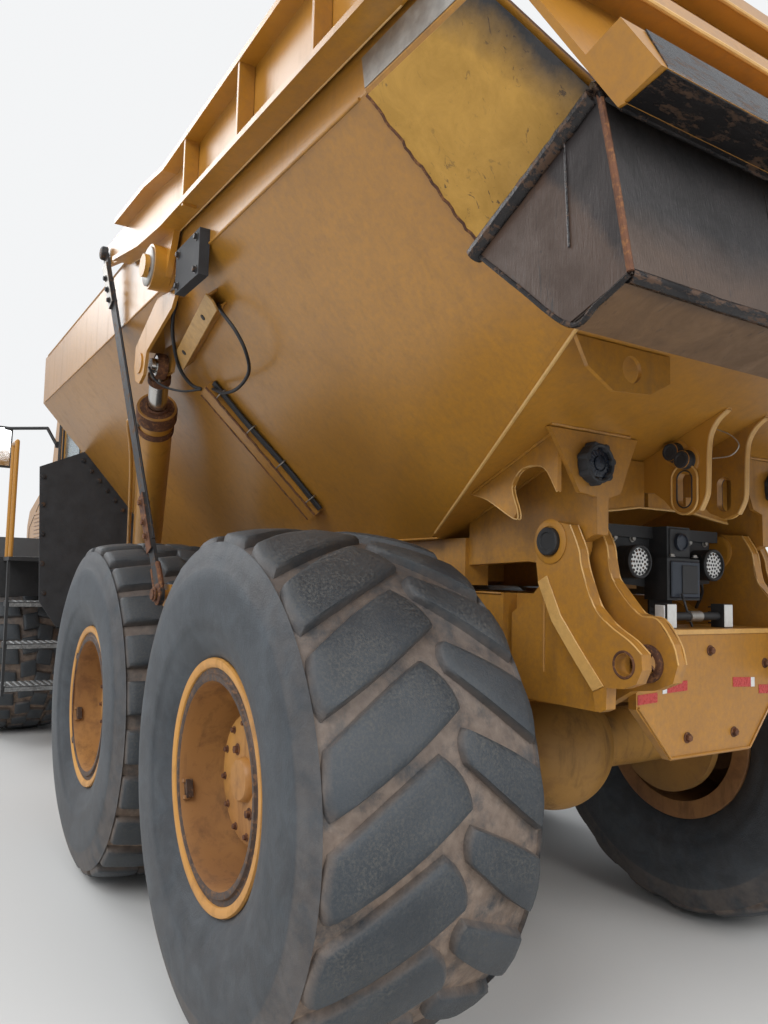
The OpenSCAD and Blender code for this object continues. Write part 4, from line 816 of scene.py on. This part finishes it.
pair("lamp_cable_", [(-534, 195, 1540), (-500, 215, 1560), (-480, 265, 1520), (-490, 305, 1430), (-440, 335, 1358)],
     .012, "rear_frame")
hose("sensor_cable", [P(-655, 30, 1412), P(-672, 36, 1380), P(-676, 24, 1340), P(-680, 10, 1304)],
     .008, "rear_frame")
pair("frame_hose_", [(-330, 300, 1392), (-420, 262, 1430), (-505, 250, 1500), (-525, 262, 1590)],
     .022, "rear_frame")

# Dump body: crease line in lighter ochre (painted highlight), doubler skin with its torn edge, lamps, stopper caps,
# bracket and channel
SKIN = [(-908, 2243), (-1005, 2208), (-1325, 2356), (-1377, 2383), (-1289, 2540), (-1251, 2604), (-823, 2604)]
EAR_EDGE = [(-786, 1682), (-803, 1712), (-812, 1740), (-815, 1800), (-817, 1860), (-825, 1920),
            (-851, 1963), (-890, 1992)]
ARCH = [(-240, 1737), (-328, 1711), (-462, 1640), (-480, 1660), (-452, 1740), (-482, 1788), (-533, 1803),
        (-602, 1788), (-655, 1712)]
FLOOR_WELDS = ([(-656, 611, 1903), (-440, 611, 1815), (-240, 611, 1734)], [(-678, 655, 1912), (-678, 280, 1908)],
               [(-1017, 565, 2045), (-1017, 900, 2045)], [(-654, 455, 1903), (-300, 455, 1760), (-45, 455, 1660)])
b = Build()
for s in (1, -1):
    out = (0, s, 0)
    slope = on_slope(s)
    # crease line: a thin tube in lighter ochre, a painted highlight along the edge
    crease = [(53 - 1203 * k / 12, 1600 + (47 + 1203 * k / 12) * 0.4) for k in range(13)]
    b.tube([P(x, s * (side_y(z) + 1.5), z - 1.5) for x, z in crease], 0.0052, 8, 0)
    b.tube([P(x, s * (side_y(1600) + 1.0), 1599) for x in (60, 800, 1800, 3400)], 0.004, 8, 1)
    b.slab(SKIN, slope, 9.4, 11.2, 2, 0.8)
    b.slab([(-822, 2611), (-1250, 2611), (-1212, 2698), (-803, 2698)], on_y(1409.3, s), 0, 2, 8, 0.8)
    torn = [slope(-908 + 85 * k / 32 + random.uniform(-4, 4), 2243 + 361 * k / 32, 8.5) for k in range(33)]
    b.tube(torn, 0.0062, 7, 3)
    torn = [slope(-1005 - 320 * k / 20, 2208 + 148 * k / 20 - random.uniform(0, 5), 7.5) for k in range(21)]
    b.tube(torn, 0.005, 7, 3)
    # stopper caps with dished ends, and the raised worn ring round the oblong hole; its outer loop is in the lighter
    # ochre, worn edge and painted highlight together
    for x, z in ((-700, 1876), (-744, 1846)):
        b.ring(P(x, s * 110.5, z), out, [(.0302, 0), (.036, .001), (.036, .004), (.0306, .007), (.0306, .030),
                                         (.027, .0365), (.020, .037), (.017, .0345), (.001, .0345)], 36, 4)
        b.ring(P(x, s * 109.5, z), out, [(.046, 0), (.046, .003), (.040, .006), (.0365, .006)], 36, 1)
    for r, w, mat in ((49.5, .0035, 0), (28.5, .0025, 5)):
        turns = [2 * math.pi * k / 48 for k in range(49)]
        b.tube([P(-736 + r * math.cos(a), s * 118.6, 1752 + (32 if math.sin(a) > 0 else -32) + r * math.sin(a))
                for a in turns], w, 8, mat, False)
    # edges of the lug: thin tubes in lighter ochre, painted highlights
    for dy in (-7, 0, 7):
        b.tube(in_plane(s * (100 + dy), EAR_EDGE, 4), 0.0042, 8, 0)
    # weld beads where the side plates, lamp plates and gussets meet the floor
    for pts in FLOOR_WELDS:
        path = []
        for p, q in zip(pts, pts[1:]):
            for k in range(12):
                w = Vector(p).lerp(Vector(q), k / 12)
                path.append(P(w.x, s * w.y, w.z - random.uniform(0, 1.5)))
        b.tube(path, 0.005, 6, 1)
    # lower edges of the side plate's arches, thin tubes in lighter ochre: painted highlights
    for dy in (-6, 6):
        b.tube(in_plane(s * (600 + dy), ARCH, 4), 0.0024, 6, 0)
    # sunlit bracket beside the channel, on two webs
    ax = Vector((-600, 0, 88)).normalized()

    def on_bracket(u, v, t):
        return slope(1000 + ax.x * u, 2372 + ax.z * u + v * 0.75, t)

    b.slab([(0, 0), (600, 0), (612, 34), (600, 72), (12, 72), (0, 60)], on_bracket, 46, 56, 6, 2)
    for v in (3, 60):
        b.slab([(4, v), (598, v), (598, v + 8), (4, v + 8)], on_bracket, 0.4, 46, 1, 1)
    for u in (120, 470):
        b.ring(on_bracket(u, 36, 56), (0, s * NORMAL_Y, NORMAL_Z),
               [(.012, 0), (.012, .002), (.008, .0035), (.001, .0035)], 20, 5)
    # bolts of the gate pivot, the rubber block's plate and the flap
    for k in range(8):
        a = 2 * math.pi * k / 8
        b.bolt(P(716 + 66 * math.cos(a), s * 1413.2, 2653 + 66 * math.sin(a)), out, 0.009, 0.009, 5)
    for x, z in itertools.product((290, 490), (2515, 2635)):
        b.bolt(P(x, s * 1438.2, z), out, 0.011, 0.010, 5)
    flap = [(side_y(1830 + 66 * k) + 62, 1830 + 66 * k) for k in range(7)]
    flap += [(1340 if z < 1500 else 1362 + (z - 1500) * .035, z) for z in (1300, 1500, 1700, 1900, 2090)]
    for y, z in flap:
        b.bolt(P(3449.6, s * y, z), BACK, 0.012, 0.011, 5)
    # rolled edges of the side rail
    b.tube([P(x, s * 1399, 2928) for x in (-740, 0, 1500, 3440)], 0.006, 8, 1)
    b.tube([P(x, s * 1401, 2609) for x in (-780, 0, 1500, 3440)], 0.0045, 8, 1)
# line across under the floor, in lighter ochre: a painted highlight
b.tube([P(-570, y, z) for y, z in ((-348, 1674), (-250, 1686), (-140, 1702), (140, 1702), (250, 1686), (348, 1674))],
       0.004, 8, 0)
b.make("dump_body_trim", ["edge", "frame", "doubler", "rust", "rubber", "dark_steel", "pale", "black", "steel"],
       "dump_body")

# Pipe channel: rust-bitten edges, clips and the two hoses beside it
CHANNEL_START = Vector((895, side_y(2010), 2010))
CHANNEL_AXES = (Vector((.974, -.147, -.170)), Vector((0, NORMAL_Y, NORMAL_Z)), Vector((.225, .638, .7365)))


def channel(u, n, w, s=1):
    q = CHANNEL_START + CHANNEL_AXES[0] * u + CHANNEL_AXES[1] * n + CHANNEL_AXES[2] * w
    return P(q.x, s * q.y, q.z)


b = Build()
for s in (1, -1):
    for u in (-45, 45):
        way = 1 if u < 0 else -1
        b.tube([channel(u + random.uniform(-2.5, 1.5) * way, 45 + random.uniform(-1, 1.5), -366 + 732 * k / 44, s)
                for k in range(45)], 0.0048, 6, 0)
    for w in (-300, -100, 100, 300):
        clip = [channel(u, n, w, s) for u, n in ((-40, 47), (-50, 40), (-80, 34), (-92, 16), (-88, 1))]
        b.tube(smooth_path(clip, 3), 0.003, 6, 1)
b.make("channel_trim", ["rust", "steel"], "dump_body")
BODY_HOSES = (
    ("body_hose_long_", .016, [(762, 1352, 2556), (822, 1348, 2496), (900, 1318, 2430), (1004, 1254, 2346),
                               (1030, 1190, 2285), (1000, 1150, 2262)]),
    ("body_hose_loop_", .014, [(430, 1296, 2458), (378, 1300, 2410), (338, 1262, 2340), (345, 1216, 2272),
                               (426, 1166, 2218), (588, 1142, 2190), (760, 1136, 2202), (915, 1128, 2250)]),
    ("eye_line_", .010, [(1040, 1376, 2335), (1062, 1340, 2288), (1050, 1290, 2258), (1012, 1228, 2244),
                         (970, 1168, 2252)]),
)
for s, side in SIDES:
    for k, u in enumerate((-58, -77)):
        path = [channel(u, 14 + 3 * math.sin(w / 90), w, s) for w in range(-362, 363, 60)]
        hose("channel_hose_%d_%s" % (k, side), path, .017, "dump_body")
    for name, d, pts in BODY_HOSES:
        hose(name + side, [P(x, s * y, z) for x, y, z in pts], d, "dump_body")
hose("lug_cable", [P(-838, 88, 1938), P(-880, 80, 1915), P(-906, 76, 1880), P(-880, 80, 1850), P(-822, 90, 1846)],
     .004, "dump_body", "steel")

# Lamps on the dump body: a lobed rubber ring round a dark lens on the left, a faded red one on the right
b = Build()
for s in (1, -1):
    c = P(-674.7, s * 480, 1805)
    b.hoop(c, BACK, [(.053, .006), (.061, .0), (.0625, .006), (.0625, .030), (.060, .0385), (.055, .041), (.0505, .038),
                     (.0495, .020)], 64, 0)
    for k in range(7):
        a = 2 * math.pi * k / 7 + 0.3
        b.ring(c + Vector((0, math.cos(a), math.sin(a))) * .056, BACK,
               [(.013, .004), (.013, .034), (.010, .0395), (.001, .0395)], 16, 0)
    lens = 1 if s > 0 else 2
    b.ring(c, BACK, [(.0515, .016), (.0515, .026), (.042, .031), (.026, .033), (.0245, .029), (.0225, .029),
                     (.021, .0345), (.001, .036)], 64, lens)
    for k in range(20):
        a = 2 * math.pi * k / 20
        d = Vector((0, math.cos(a), math.sin(a)))
        b.tube([c + d * .027 + Vector((-.0325, 0, 0)), c + d * .047 + Vector((-.029, 0, 0))], 0.0016, 6, lens)
ob = b.make("body_lamps_detail", ["rubber", "dark_lens", "pink"], "dump_body")
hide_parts("body_lamps")

# Tail lip: scratched end plates, streaked rear face, scraped underside, beads along its edges
A, T, R, L = (-1060, 2155), (-1418, 2350), (-1492, 1975), (-1339, 1919)
b = Build()
for s in (1, -1):
    end = [(A[0] - 6, A[1] - 2), (T[0] + 2, T[1] - 5), (R[0] + 4, R[1] + 2), (L[0] - 1, L[1] + 4)]
    b.slab(end, on_y(1250.3, s), 0, 2.2, 0, 0.8)
    b.tube([P(-1330 - 2 * k, s * 1253, 2285 - 30 * k + 3 * math.sin(k * 1.7)) for k in range(8)], 0.003, 6, 3)
    upper = smooth_path([P(A[0] + 10, s * 1249, A[1] + 2), P(-1240, s * 1250, 2256),
                         P(T[0] + 14, s * 1250, T[1] - 4)], 10)
    b.tube([p + Vector((0, 0, random.uniform(-.002, .002))) for p in upper], 0.021, 12, 3)
    b.tube(smooth_path([P(T[0], s * 1250, T[1] - 6), P(-1456, s * 1252, 2165),
                        P(R[0] + 3, s * 1250, R[1] + 5)], 8), 0.007, 8, 4)
    b.tube(smooth_path([P(R[0] + 5, s * 1250, R[1]), P(-1415, s * 1251, 1943), P(L[0] - 4, s * 1250, L[1] + 3),
                        P(-1200, s * 1251, 2038), P(A[0] - 8, s * 1250, A[1] - 4)], 8), 0.006, 8, 3)
    b.tube([P(T[0] + 14, s * 1250, T[1] - 4), P(T[0] + 4, s * 1236, T[1] + 2),
            P(T[0] + 2, s * 1200, T[1] - 2)], 0.026, 12, 3)


def strip_face(p, q, off, mat):
    """A face of the lip, gently uneven, off mm outside the plane through profile points p and q."""
    n = Vector((q[1] - p[1], 0, -(q[0] - p[0]))).normalized()
    verts = []
    for i in range(41):
        for j in range(9):
            v = 0.01 + 0.98 * j / 8
            t = off + (random.uniform(-0.5, 0.9) if 0 < j < 8 else 0.0)
            x = p[0] + (q[0] - p[0]) * v + n.x * t
            z = p[1] + (q[1] - p[1]) * v + n.z * t
            verts.append(P(x, -1247 + 2494 * i / 40, z))
    firsts = [i * 9 + j for i in range(40) for j in range(8)]
    b.add(verts, [(k, k + 1, k + 10, k + 9) for k in firsts], mat)


def uneven(x, z, half, n, by):
    """Points across the truck at x and z, each moved up or down by a little."""
    return [P(x, -half + 2 * half * k / n, z + random.uniform(-by, by)) for k in range(n + 1)]


strip_face(T, R, 1.6, 1)
strip_face(R, L, 1.6, 2)
b.tube(uneven(T[0] + 6, T[1] - 2, 1250, 60, 3), 0.020, 12, 3)
b.tube(uneven(T[0] - 5, T[1] - 44, 1245, 60, 1), 0.0045, 6, 2)
b.tube(uneven(R[0] + 12, R[1] + 1, 1246, 50, 1), 0.015, 12, 3)
for y in (-700, 60, 760):
    b.tube([P(T[0] - 12, y, 2290), P(-1456, y + 12, 2165), P(R[0] + 2, y + 26, 2010)], 0.0022, 6, 3)
b.make("tail_lip_trim", ["lip_end", "lip_rear", "lip_under", "bead", "rust"], "dump_body", 30)


# Tailgate: black strips along the lower edge (painted shadow), flange lines in lighter ochre (painted highlights),
# pivot discs with their bolts

def gate(z):
    return -1425 + (z - 2360) * 0.514


b = Build()
# thin black sheets under the gate's lower edge: painted shadow
b.slab([(-1559, 2319), (gate(2300) + 1, 2298.4), (gate(2300) + 2, 2296.5), (-1559, 2317)],
       on_y(0), -1238, 1238, 0, 0.5)
b.slab([(-1559, 2321), (gate(2420) - 116, 2421), (gate(2420) - 118.5, 2421), (-1559.8, 2325)],
       on_y(0), -1236, 1236, 0, 0.5)
# lines across the gate in lighter ochre: painted highlights
for z in (2640, 2950):
    b.tube(uneven(gate(z) - 90, z, 1380, 30, 1), 0.006, 8, 1)
# black tube along the lower edge: painted shadow
b.tube([P(gate(2300) - 2, y, 2301) for y in (-1238, 0, 1238)], 0.005, 8, 0)
for s in (1, -1):
    c = P(716, s * 1485.2, 2653)
    b.ring(c, (0, s, 0), [(.078, 0), (.078, .005), (.074, .0075), (.030, .0075), (.001, .0075)], 48, 2)
    for a in (0.6, 0.6 + math.pi):
        b.bolt(c + Vector((.045 * math.cos(a), s * .0075, .045 * math.sin(a))), (0, s, 0), 0.0105, 0.002, 3, False)
    # flange lines in lighter ochre: painted highlights
    b.tube(in_plane(s * 1493, ((1298, 3064), (820, 3040), (560, 3000), (-700, 3026)), 6), 0.0018, 6, 1)
    b.tube(in_plane(s * 1417, ((1300, 2872), (880, 2792), (560, 2760), (-990, 2716)), 6), 0.003, 6, 1)
    for x in (-700, -200, 300):
        b.bar(on_y(1440.2, s), x, 2740, x + 12, 3005, 52, 4, 1.5)
b.make("tailgate_trim", ["bead", "edge", "steel", "black", "body"], "tailgate")

# Straps: clamp plates with their bolts, shackle at the foot
SHACKLE = ((-34, 128), (-40, 60), (-34, 6), (-16, -32), (16, -32), (34, 6), (40, 60), (34, 128))
b = Build()
for s in (1, -1):
    foot = P(850, s * 1340, 1357)
    head = P(1620, s * 1455, 3020)
    z = (head - foot).normalized()
    lean = math.atan2(770, 1663)
    x = Vector((math.cos(lean), 0, -math.sin(lean)))
    y = z.cross(x) * s
    length = (head - foot).length * 1000

    def strap(u, v, t):
        return foot + x * (u / 1000) + z * (v / 1000) + y * (t / 1000)

    for v0, v1, t, mat in ((length - 330, length - 78, 19, 0), (196, 462, 18, 1)):
        b.slab([(-30, v0), (30, v0), (30, v1), (-30, v1)], strap, 14.3, t, mat, 1.5)
    for v in (length - 300, length - 235, length - 165):
        b.bolt(strap(0, v, 19), y, 0.011, 0.011, 2)
        b.bolt(strap(0, v, -7), -y, 0.010, 0.009, 2)
    for v in (265, 330, 425):
        b.bolt(strap(0, v, 18), y, 0.012, 0.012, 1)
        b.bolt(strap(0, v, -7), -y, 0.010, 0.009, 1)
    # frayed cord edges of the rubber
    for u in (-35.4, 35.4):
        b.tube([strap(u + random.uniform(-.5, .5), 250 + (length - 460) * k / 50, random.uniform(-1, 1))
                for k in range(51)], 0.0022, 6, 3)
    # shackle round the foot pin
    b.tube([strap(u, v, 0) for u, v in SHACKLE], 0.011, 10, 1)
    b.ring(foot + Vector((0, s * .0085, 0)), (0, s, 0), [(.044, 0), (.044, .004), (.036, .008), (.022, .008)], 36, 1)
    b.ring(head + Vector((0, s * .0182, 0)), (0, s, 0), [(.030, 0), (.030, .005), (.024, .008), (.001, .008)], 32, 2)
b.make("strap_trim", ["steel", "rust", "dark_steel", "rubber"], "straps")

# Hoist cylinders: gland nut, ports, pipe and greasy eye
for s, side in SIDES:
    foot = P(3300, s * 720, 950)
    eye = P(1130, s * 1300, 2368)
    z = (eye - foot).normalized()
    up = z.cross(Vector((0, s, 0))).cross(z)
    gland = (eye - foot).length - 0.260
    b = Build()
    b.hoop(foot, z, [(.0935, gland - .074), (.0955, gland - .070), (.0955, gland - .012), (.090, gland - .002),
                     (.062, gland + .004), (.060, gland + .014), (.0465, gland + .014), (.0455, gland)], 48, 1)
    for t in (0.30, gland - 0.16):
        b.hoop(foot, z, [(.0815, t), (.087, t + .004), (.087, t + .034), (.0815, t + .038)], 48, 1)
    for t in (0.20, gland - 0.09):
        b.ring(foot + z * t, up,
               [(.030, .070), (.030, .104), (.024, .110), (.016, .110), (.016, .124), (.001, .124)], 24, 2)
    pipe = ((0.20, .120), (0.24, .128), (0.6, .106), (gland - .5, .106), (gland - .13, .128), (gland - .09, .122))
    b.tube(smooth_path([foot + z * t + up.normalized() * o for t, o in pipe], 6), 0.010, 10, 0)
    b.make("hoist_barrel_trim_" + side, ["frame", "rust", "steel"], "hoist_barrel_" + side)
    b = Build()
    b.hoop(eye, (0, s, 0),
           [(.0475, -.023), (.0565, -.0215), (.0585, -.014), (.0585, .014), (.0565, .0215), (.0475, .023)], 48, 0)
    b.hoop(eye, -z, [(.0445, .052), (.052, .058), (.052, .092), (.0455, .098)], 40, 0)
    b.bolt(eye + Vector((0, 0, -.058)), (0, 0, -1), 0.007, 0.012, 1, False)
    b.make("hoist_rod_trim_" + side, ["rust", "steel"], "hoist_rod_" + side)


# Tractor: treads, tank straps, roof lights, wiper, window seals, mirrors, stack

def frame_line(b, corners, r, mat):
    """A bead round a closed outline."""
    b.tube([F(*p) for p in corners + corners[:1]], r, 8, mat, False)


def window_line(b, y, x0, z0, x1, z1, r, mat):
    """A bead round a rectangle that faces sideways."""
    frame_line(b, [(x0, y, z0), (x1, y, z0), (x1, y, z1), (x0, y, z1)], r, mat)


def front_line(b, x, y0, z0, y1, z1, r, mat):
    """A bead round a rectangle that faces ahead or back."""
    frame_line(b, [(x, y0, z0), (x, y1, z0), (x, y1, z1), (x, y0, z1)], r, mat)


UP = (0, 0, 1)
b = Build()
for s in (1, -1):
    out = (0, s, 0)
    for i in range(3):
        x0 = -1330 + i * 20
        z = 540.2 + i * 330
        b.box(F(x0 + 4, s * 984, z), F(-1014, s * 1396, z + 4), 0, 0.001)
        for x, y in itertools.product(range(x0 + 32, -1020, 44), range(1012, 1390, 46)):
            b.ring(F(x, s * y, z + 4), UP, [(.015, 0), (.011, .005), (.008, .005), (.007, .001)], 10, 0)
        b.box(F(x0, s * 985, z - 36), F(x0 - 4, s * 1395, z - 4), 0, 0.001)
    b.box(F(-1296, s * 966, 1560.2), F(-966, s * 1372, 1564), 0, 0.001)
    for x in (-500, -250, 0, 250, 430):
        b.box(F(x - 40, s * 900, 1740.2), F(x + 40, s * 1430, 1744), 0, 0.001)
    for x in (-820, -430):
        b.box(F(x - 32, s * 675.2, 762), F(x + 32, s * 681, 1184), 2, 0.002)
        b.box(F(x - 32, s * 400, 1180.2), F(x + 32, s * 680, 1185), 2, 0.002)
        b.bolt(F(x, s * 681, 1130), out, 0.012, 0.014, 2)
    b.ring(F(-620, s * 560, 1180.2), UP,
           [(.070, 0), (.070, .030), (.062, .036), (.020, .036), (.018, .048), (.001, .048)], 36, 2)
    # mirror glass in its rim
    b.box(F(649.8, s * 1214, 2516), F(646, s * 1406, 2904), 3, 0.002)
    front_line(b, 648, s * 1207, 2508, s * 1413, 2912, .0065, 1)
    # side window seals and the drip rail
    window_line(b, s * 821, 180 if s > 0 else -860, 2340, 230, 3250, .008, 1)
    b.tube([F(x, s * 842, 3386) for x in (-1240, -400, 390)], 0.009, 8, 1)
    for y in (300, 620):
        b.box(F(500.2, s * (y - 62), 3384), F(540, s * (y + 62), 3436), 1, 0.004)
        b.box(F(540.2, s * (y - 54), 3390), F(543, s * (y + 54), 3430), 4, 0.001)
    # bumper tread and bolts of the frame
    b.box(F(2474, s * 300, 900.2), F(2506, s * 900, 903), 0, 0.001)
    for x in (-760, -200, 330, 1100, 1700, 2150):
        b.bolt(F(x, s * 390.4, 1050), out, 0.016, 0.014, 2)
front_line(b, -1202, -690, 2360, 690, 3240, .009, 1)
window_line(b, 822, -866, 1760, 126, 3276, .006, 1)


def on_screen(y, z, out):
    """A point over the windscreen, out mm from it."""
    return F(545 - (z - 2560) * .317 + out * .953, y, z + out * .302)


b.ring(F(560.2, 60, 2440), (1, 0, 0), [(.022, 0), (.022, .016), (.012, .022), (.001, .022)], 24, 1)
b.tube([F(576, 60, 2440), F(580, 40, 2520), on_screen(0, 2620, 26), on_screen(-60, 2900, 18)], .006, 8, 1)
b.tube([on_screen(-10 - 100 * k / 4, 2640 + 520 * k / 4, 9) for k in range(5)], .007, 8, 1)
# stack: perforated shield, clamps and rain flap
stack = F(590, -960, 1740)
b.hoop(stack, UP, [(.1055, .10), (.111, .10), (.111, .66), (.1055, .66)], 64, 5)
for k, j in itertools.product(range(14), range(9)):
    a = 2 * math.pi * (k + .5 * (j % 2)) / 14
    d = Vector((math.cos(a), math.sin(a), 0))
    b.bolt(stack + d * .111 + Vector((0, 0, .15 + .055 * j)), d, .010, .003, 1, False)
for r, z in ((.1055, .05), (.1055, .71), (.0625, .86), (.0625, 1.30)):
    b.hoop(stack, UP, [(r, z), (r + .006, z), (r + .006, z + .03), (r, z + .03)], 48, 2)
b.ring(stack + Vector((.005, 0, 1.455)), (-.35, 0, 1), [(.072, 0), (.072, .006), (.060, .010), (.001, .010)], 40, 5)
b.make("tractor_trim", ["galv", "black", "steel", "mirror", "white", "stack"], "tractor")

# Hood: louvres, panel seams, latches, rim of the grille, lamp bezels
PANEL = ((720, 1360), (2240, 1360), (2240, 1980), (1480, 2290), (720, 2330))
b = Build()
for s in (1, -1):
    for i in range(9):
        z = 1760 + 44 * i
        b.slab([(1180, z), (1900, z), (1900, z + 10), (1880, z + 30), (1200, z + 30), (1180, z + 10)],
               on_y(750.2, s, F), 0, 11, 1, 2)
    frame_line(b, [(x, s * 751, z) for x, z in PANEL], .0035, 0)
    for x in (860, 2120):
        b.box(F(x, s * 750.2, 1560), F(x + 60, s * 765, 1680), 0, 0.005)
        b.bolt(F(x + 30, s * 765, 1620), (0, s, 0), 0.016, 0.010, 2)
    b.hoop(F(2400.2, s * 655, 1560), (1, 0, 0),
           [(.069, 0), (.088, 0), (.088, .020), (.078, .036), (.070, .036)], 56, 0)
    b.box(F(2400.2, s * 600, 1390), F(2416, s * 710, 1440), 3, 0.004)
    # line along the hood's upper edge in lighter ochre: painted highlight
    b.tube([F(x, s * 742, z + 2) for x, z in ((600, 2439), (1500, 2380), (2276, 2180))], .008, 8, 4)
front_line(b, 2402, -572, 1318, 572, 2006, .012, 0)
for x in range(820, 1301, 60):
    b.tube([F(x, y, 2443 - (x - 590) * 60 / 910) for y in (-330, 0, 330)], .009, 8, 0)
b.make("hood_trim", ["black", "cab", "steel", "amber", "edge"], "hood_lid")

# Cab door: window seal, handle and lower ribs
b = Build()
window_line(b, 820, -770, 2300, 30, 3190, .009, 0)
b.box(F(34, 819.4, 2120), F(96, 832, 2200), 0, 0.004)
b.tube(smooth_path([F(46, 828, 2188), F(46, 862, 2180), F(46, 862, 2140), F(46, 828, 2132)], 5), .008, 10, 0)
for z in (1860, 2020):
    b.bar(on_y(819.4, 1, F), -740, z, 0, z + 14, 6, 1, 2)
b.make("door_trim", ["black", "cab"], "door")

# Floor, lights and camera
FLOOR_HALF = 60
floor_mat = bpy.data.materials.new("pale_floor")
floor_mat.use_nodes = True
bsdf = floor_mat.node_tree.nodes["Principled BSDF"]
bsdf.inputs["Base Color"].default_value = (0.62, 0.62, 0.61, 1)
bsdf.inputs["Roughness"].default_value = 0.9
me = bpy.data.meshes.new("floor")
corners = [(x * FLOOR_HALF, y * FLOOR_HALF, 0) for x, y in ((-1, -1), (1, -1), (1, 1), (-1, 1))]
me.from_pydata(corners, [], [(0, 1, 2, 3)])
me.materials.append(floor_mat)
ob = bpy.data.objects.new("floor", me)
bpy.context.collection.objects.link(ob)

for name, place, target, size, power in (("sky_left", (-7, 9, 9), (-2.5, 0.5, 1), 8, 900),
                                         ("sky_back", (-13, -1, 7), (-3.5, 0, 1.2), 7, 650),
                                         ("sky_front", (9, 6, 9), (2, 0, 1), 8, 600)):
    data = bpy.data.lights.new(name, "AREA")
    data.shape = "DISK"
    data.size = size
    data.energy = power
    ob = bpy.data.objects.new(name, data)
    ob.location = place
    ob.rotation_euler = (Vector(target) - Vector(place)).to_track_quat("-Z", "Y").to_euler()
    bpy.context.collection.objects.link(ob)

# A soft blue-white sky lights the scene; the camera and the windows see a paler one
world = bpy.data.worlds.new("studio")
bpy.context.scene.world = world
world.use_nodes = True
tree = world.node_tree
tree.nodes.clear()
out, soft, seen, path, either, mixer = [tree.nodes.new("ShaderNode" + kind) for kind in (
    "OutputWorld", "Background", "Background", "LightPath", "Math", "MixShader")]
soft.inputs[0].default_value = (0.93, 0.96, 1.0, 1)
soft.inputs[1].default_value = 0.62
seen.inputs[0].default_value = (0.90, 0.91, 0.92, 1)
seen.inputs[1].default_value = 1.0
either.operation = "MAXIMUM"
for a, b in ((path.outputs["Is Camera Ray"], either.inputs[0]),
             (path.outputs["Is Transmission Ray"], either.inputs[1]),
             (either.outputs[0], mixer.inputs[0]), (soft.outputs[0], mixer.inputs[1]),
             (seen.outputs[0], mixer.inputs[2]), (mixer.outputs[0], out.inputs[0])):
    tree.links.new(a, b)

# The camera stands 2.42 m behind the rear axle, left of the truck
CAM_PLACE = (XR - 2.4222, 2.3382, 1.4281)
CAM_YAW, CAM_PITCH, CAM_ROLL = -0.56344, 0.08648, 0.02353
CAM_FOCAL_PIXELS, CAM_HEIGHT_PIXELS, SENSOR_HEIGHT = 807.27, 1024, 24
level = math.cos(CAM_PITCH)
forward = Vector((level * math.cos(CAM_YAW), level * math.sin(CAM_YAW), math.sin(CAM_PITCH)))
right = forward.cross(Vector((0, 0, 1))).normalized()
upward = right.cross(forward)
cam_x = right * math.cos(CAM_ROLL) + upward * math.sin(CAM_ROLL)
cam_y = -right * math.sin(CAM_ROLL) + upward * math.cos(CAM_ROLL)
cam_data = bpy.data.cameras.new("camera")
cam_data.sensor_fit = "VERTICAL"
cam_data.sensor_height = SENSOR_HEIGHT
cam_data.lens = CAM_FOCAL_PIXELS * SENSOR_HEIGHT / CAM_HEIGHT_PIXELS
cam_data.clip_end = 200
cam = bpy.data.objects.new("camera", cam_data)
cam.matrix_world = Matrix.Translation(CAM_PLACE) @ Matrix((cam_x, cam_y, -forward)).transposed().to_4x4()
bpy.context.collection.objects.link(cam)
bpy.context.scene.camera = cam
bpy.context.scene.view_settings.view_transform = "Standard"
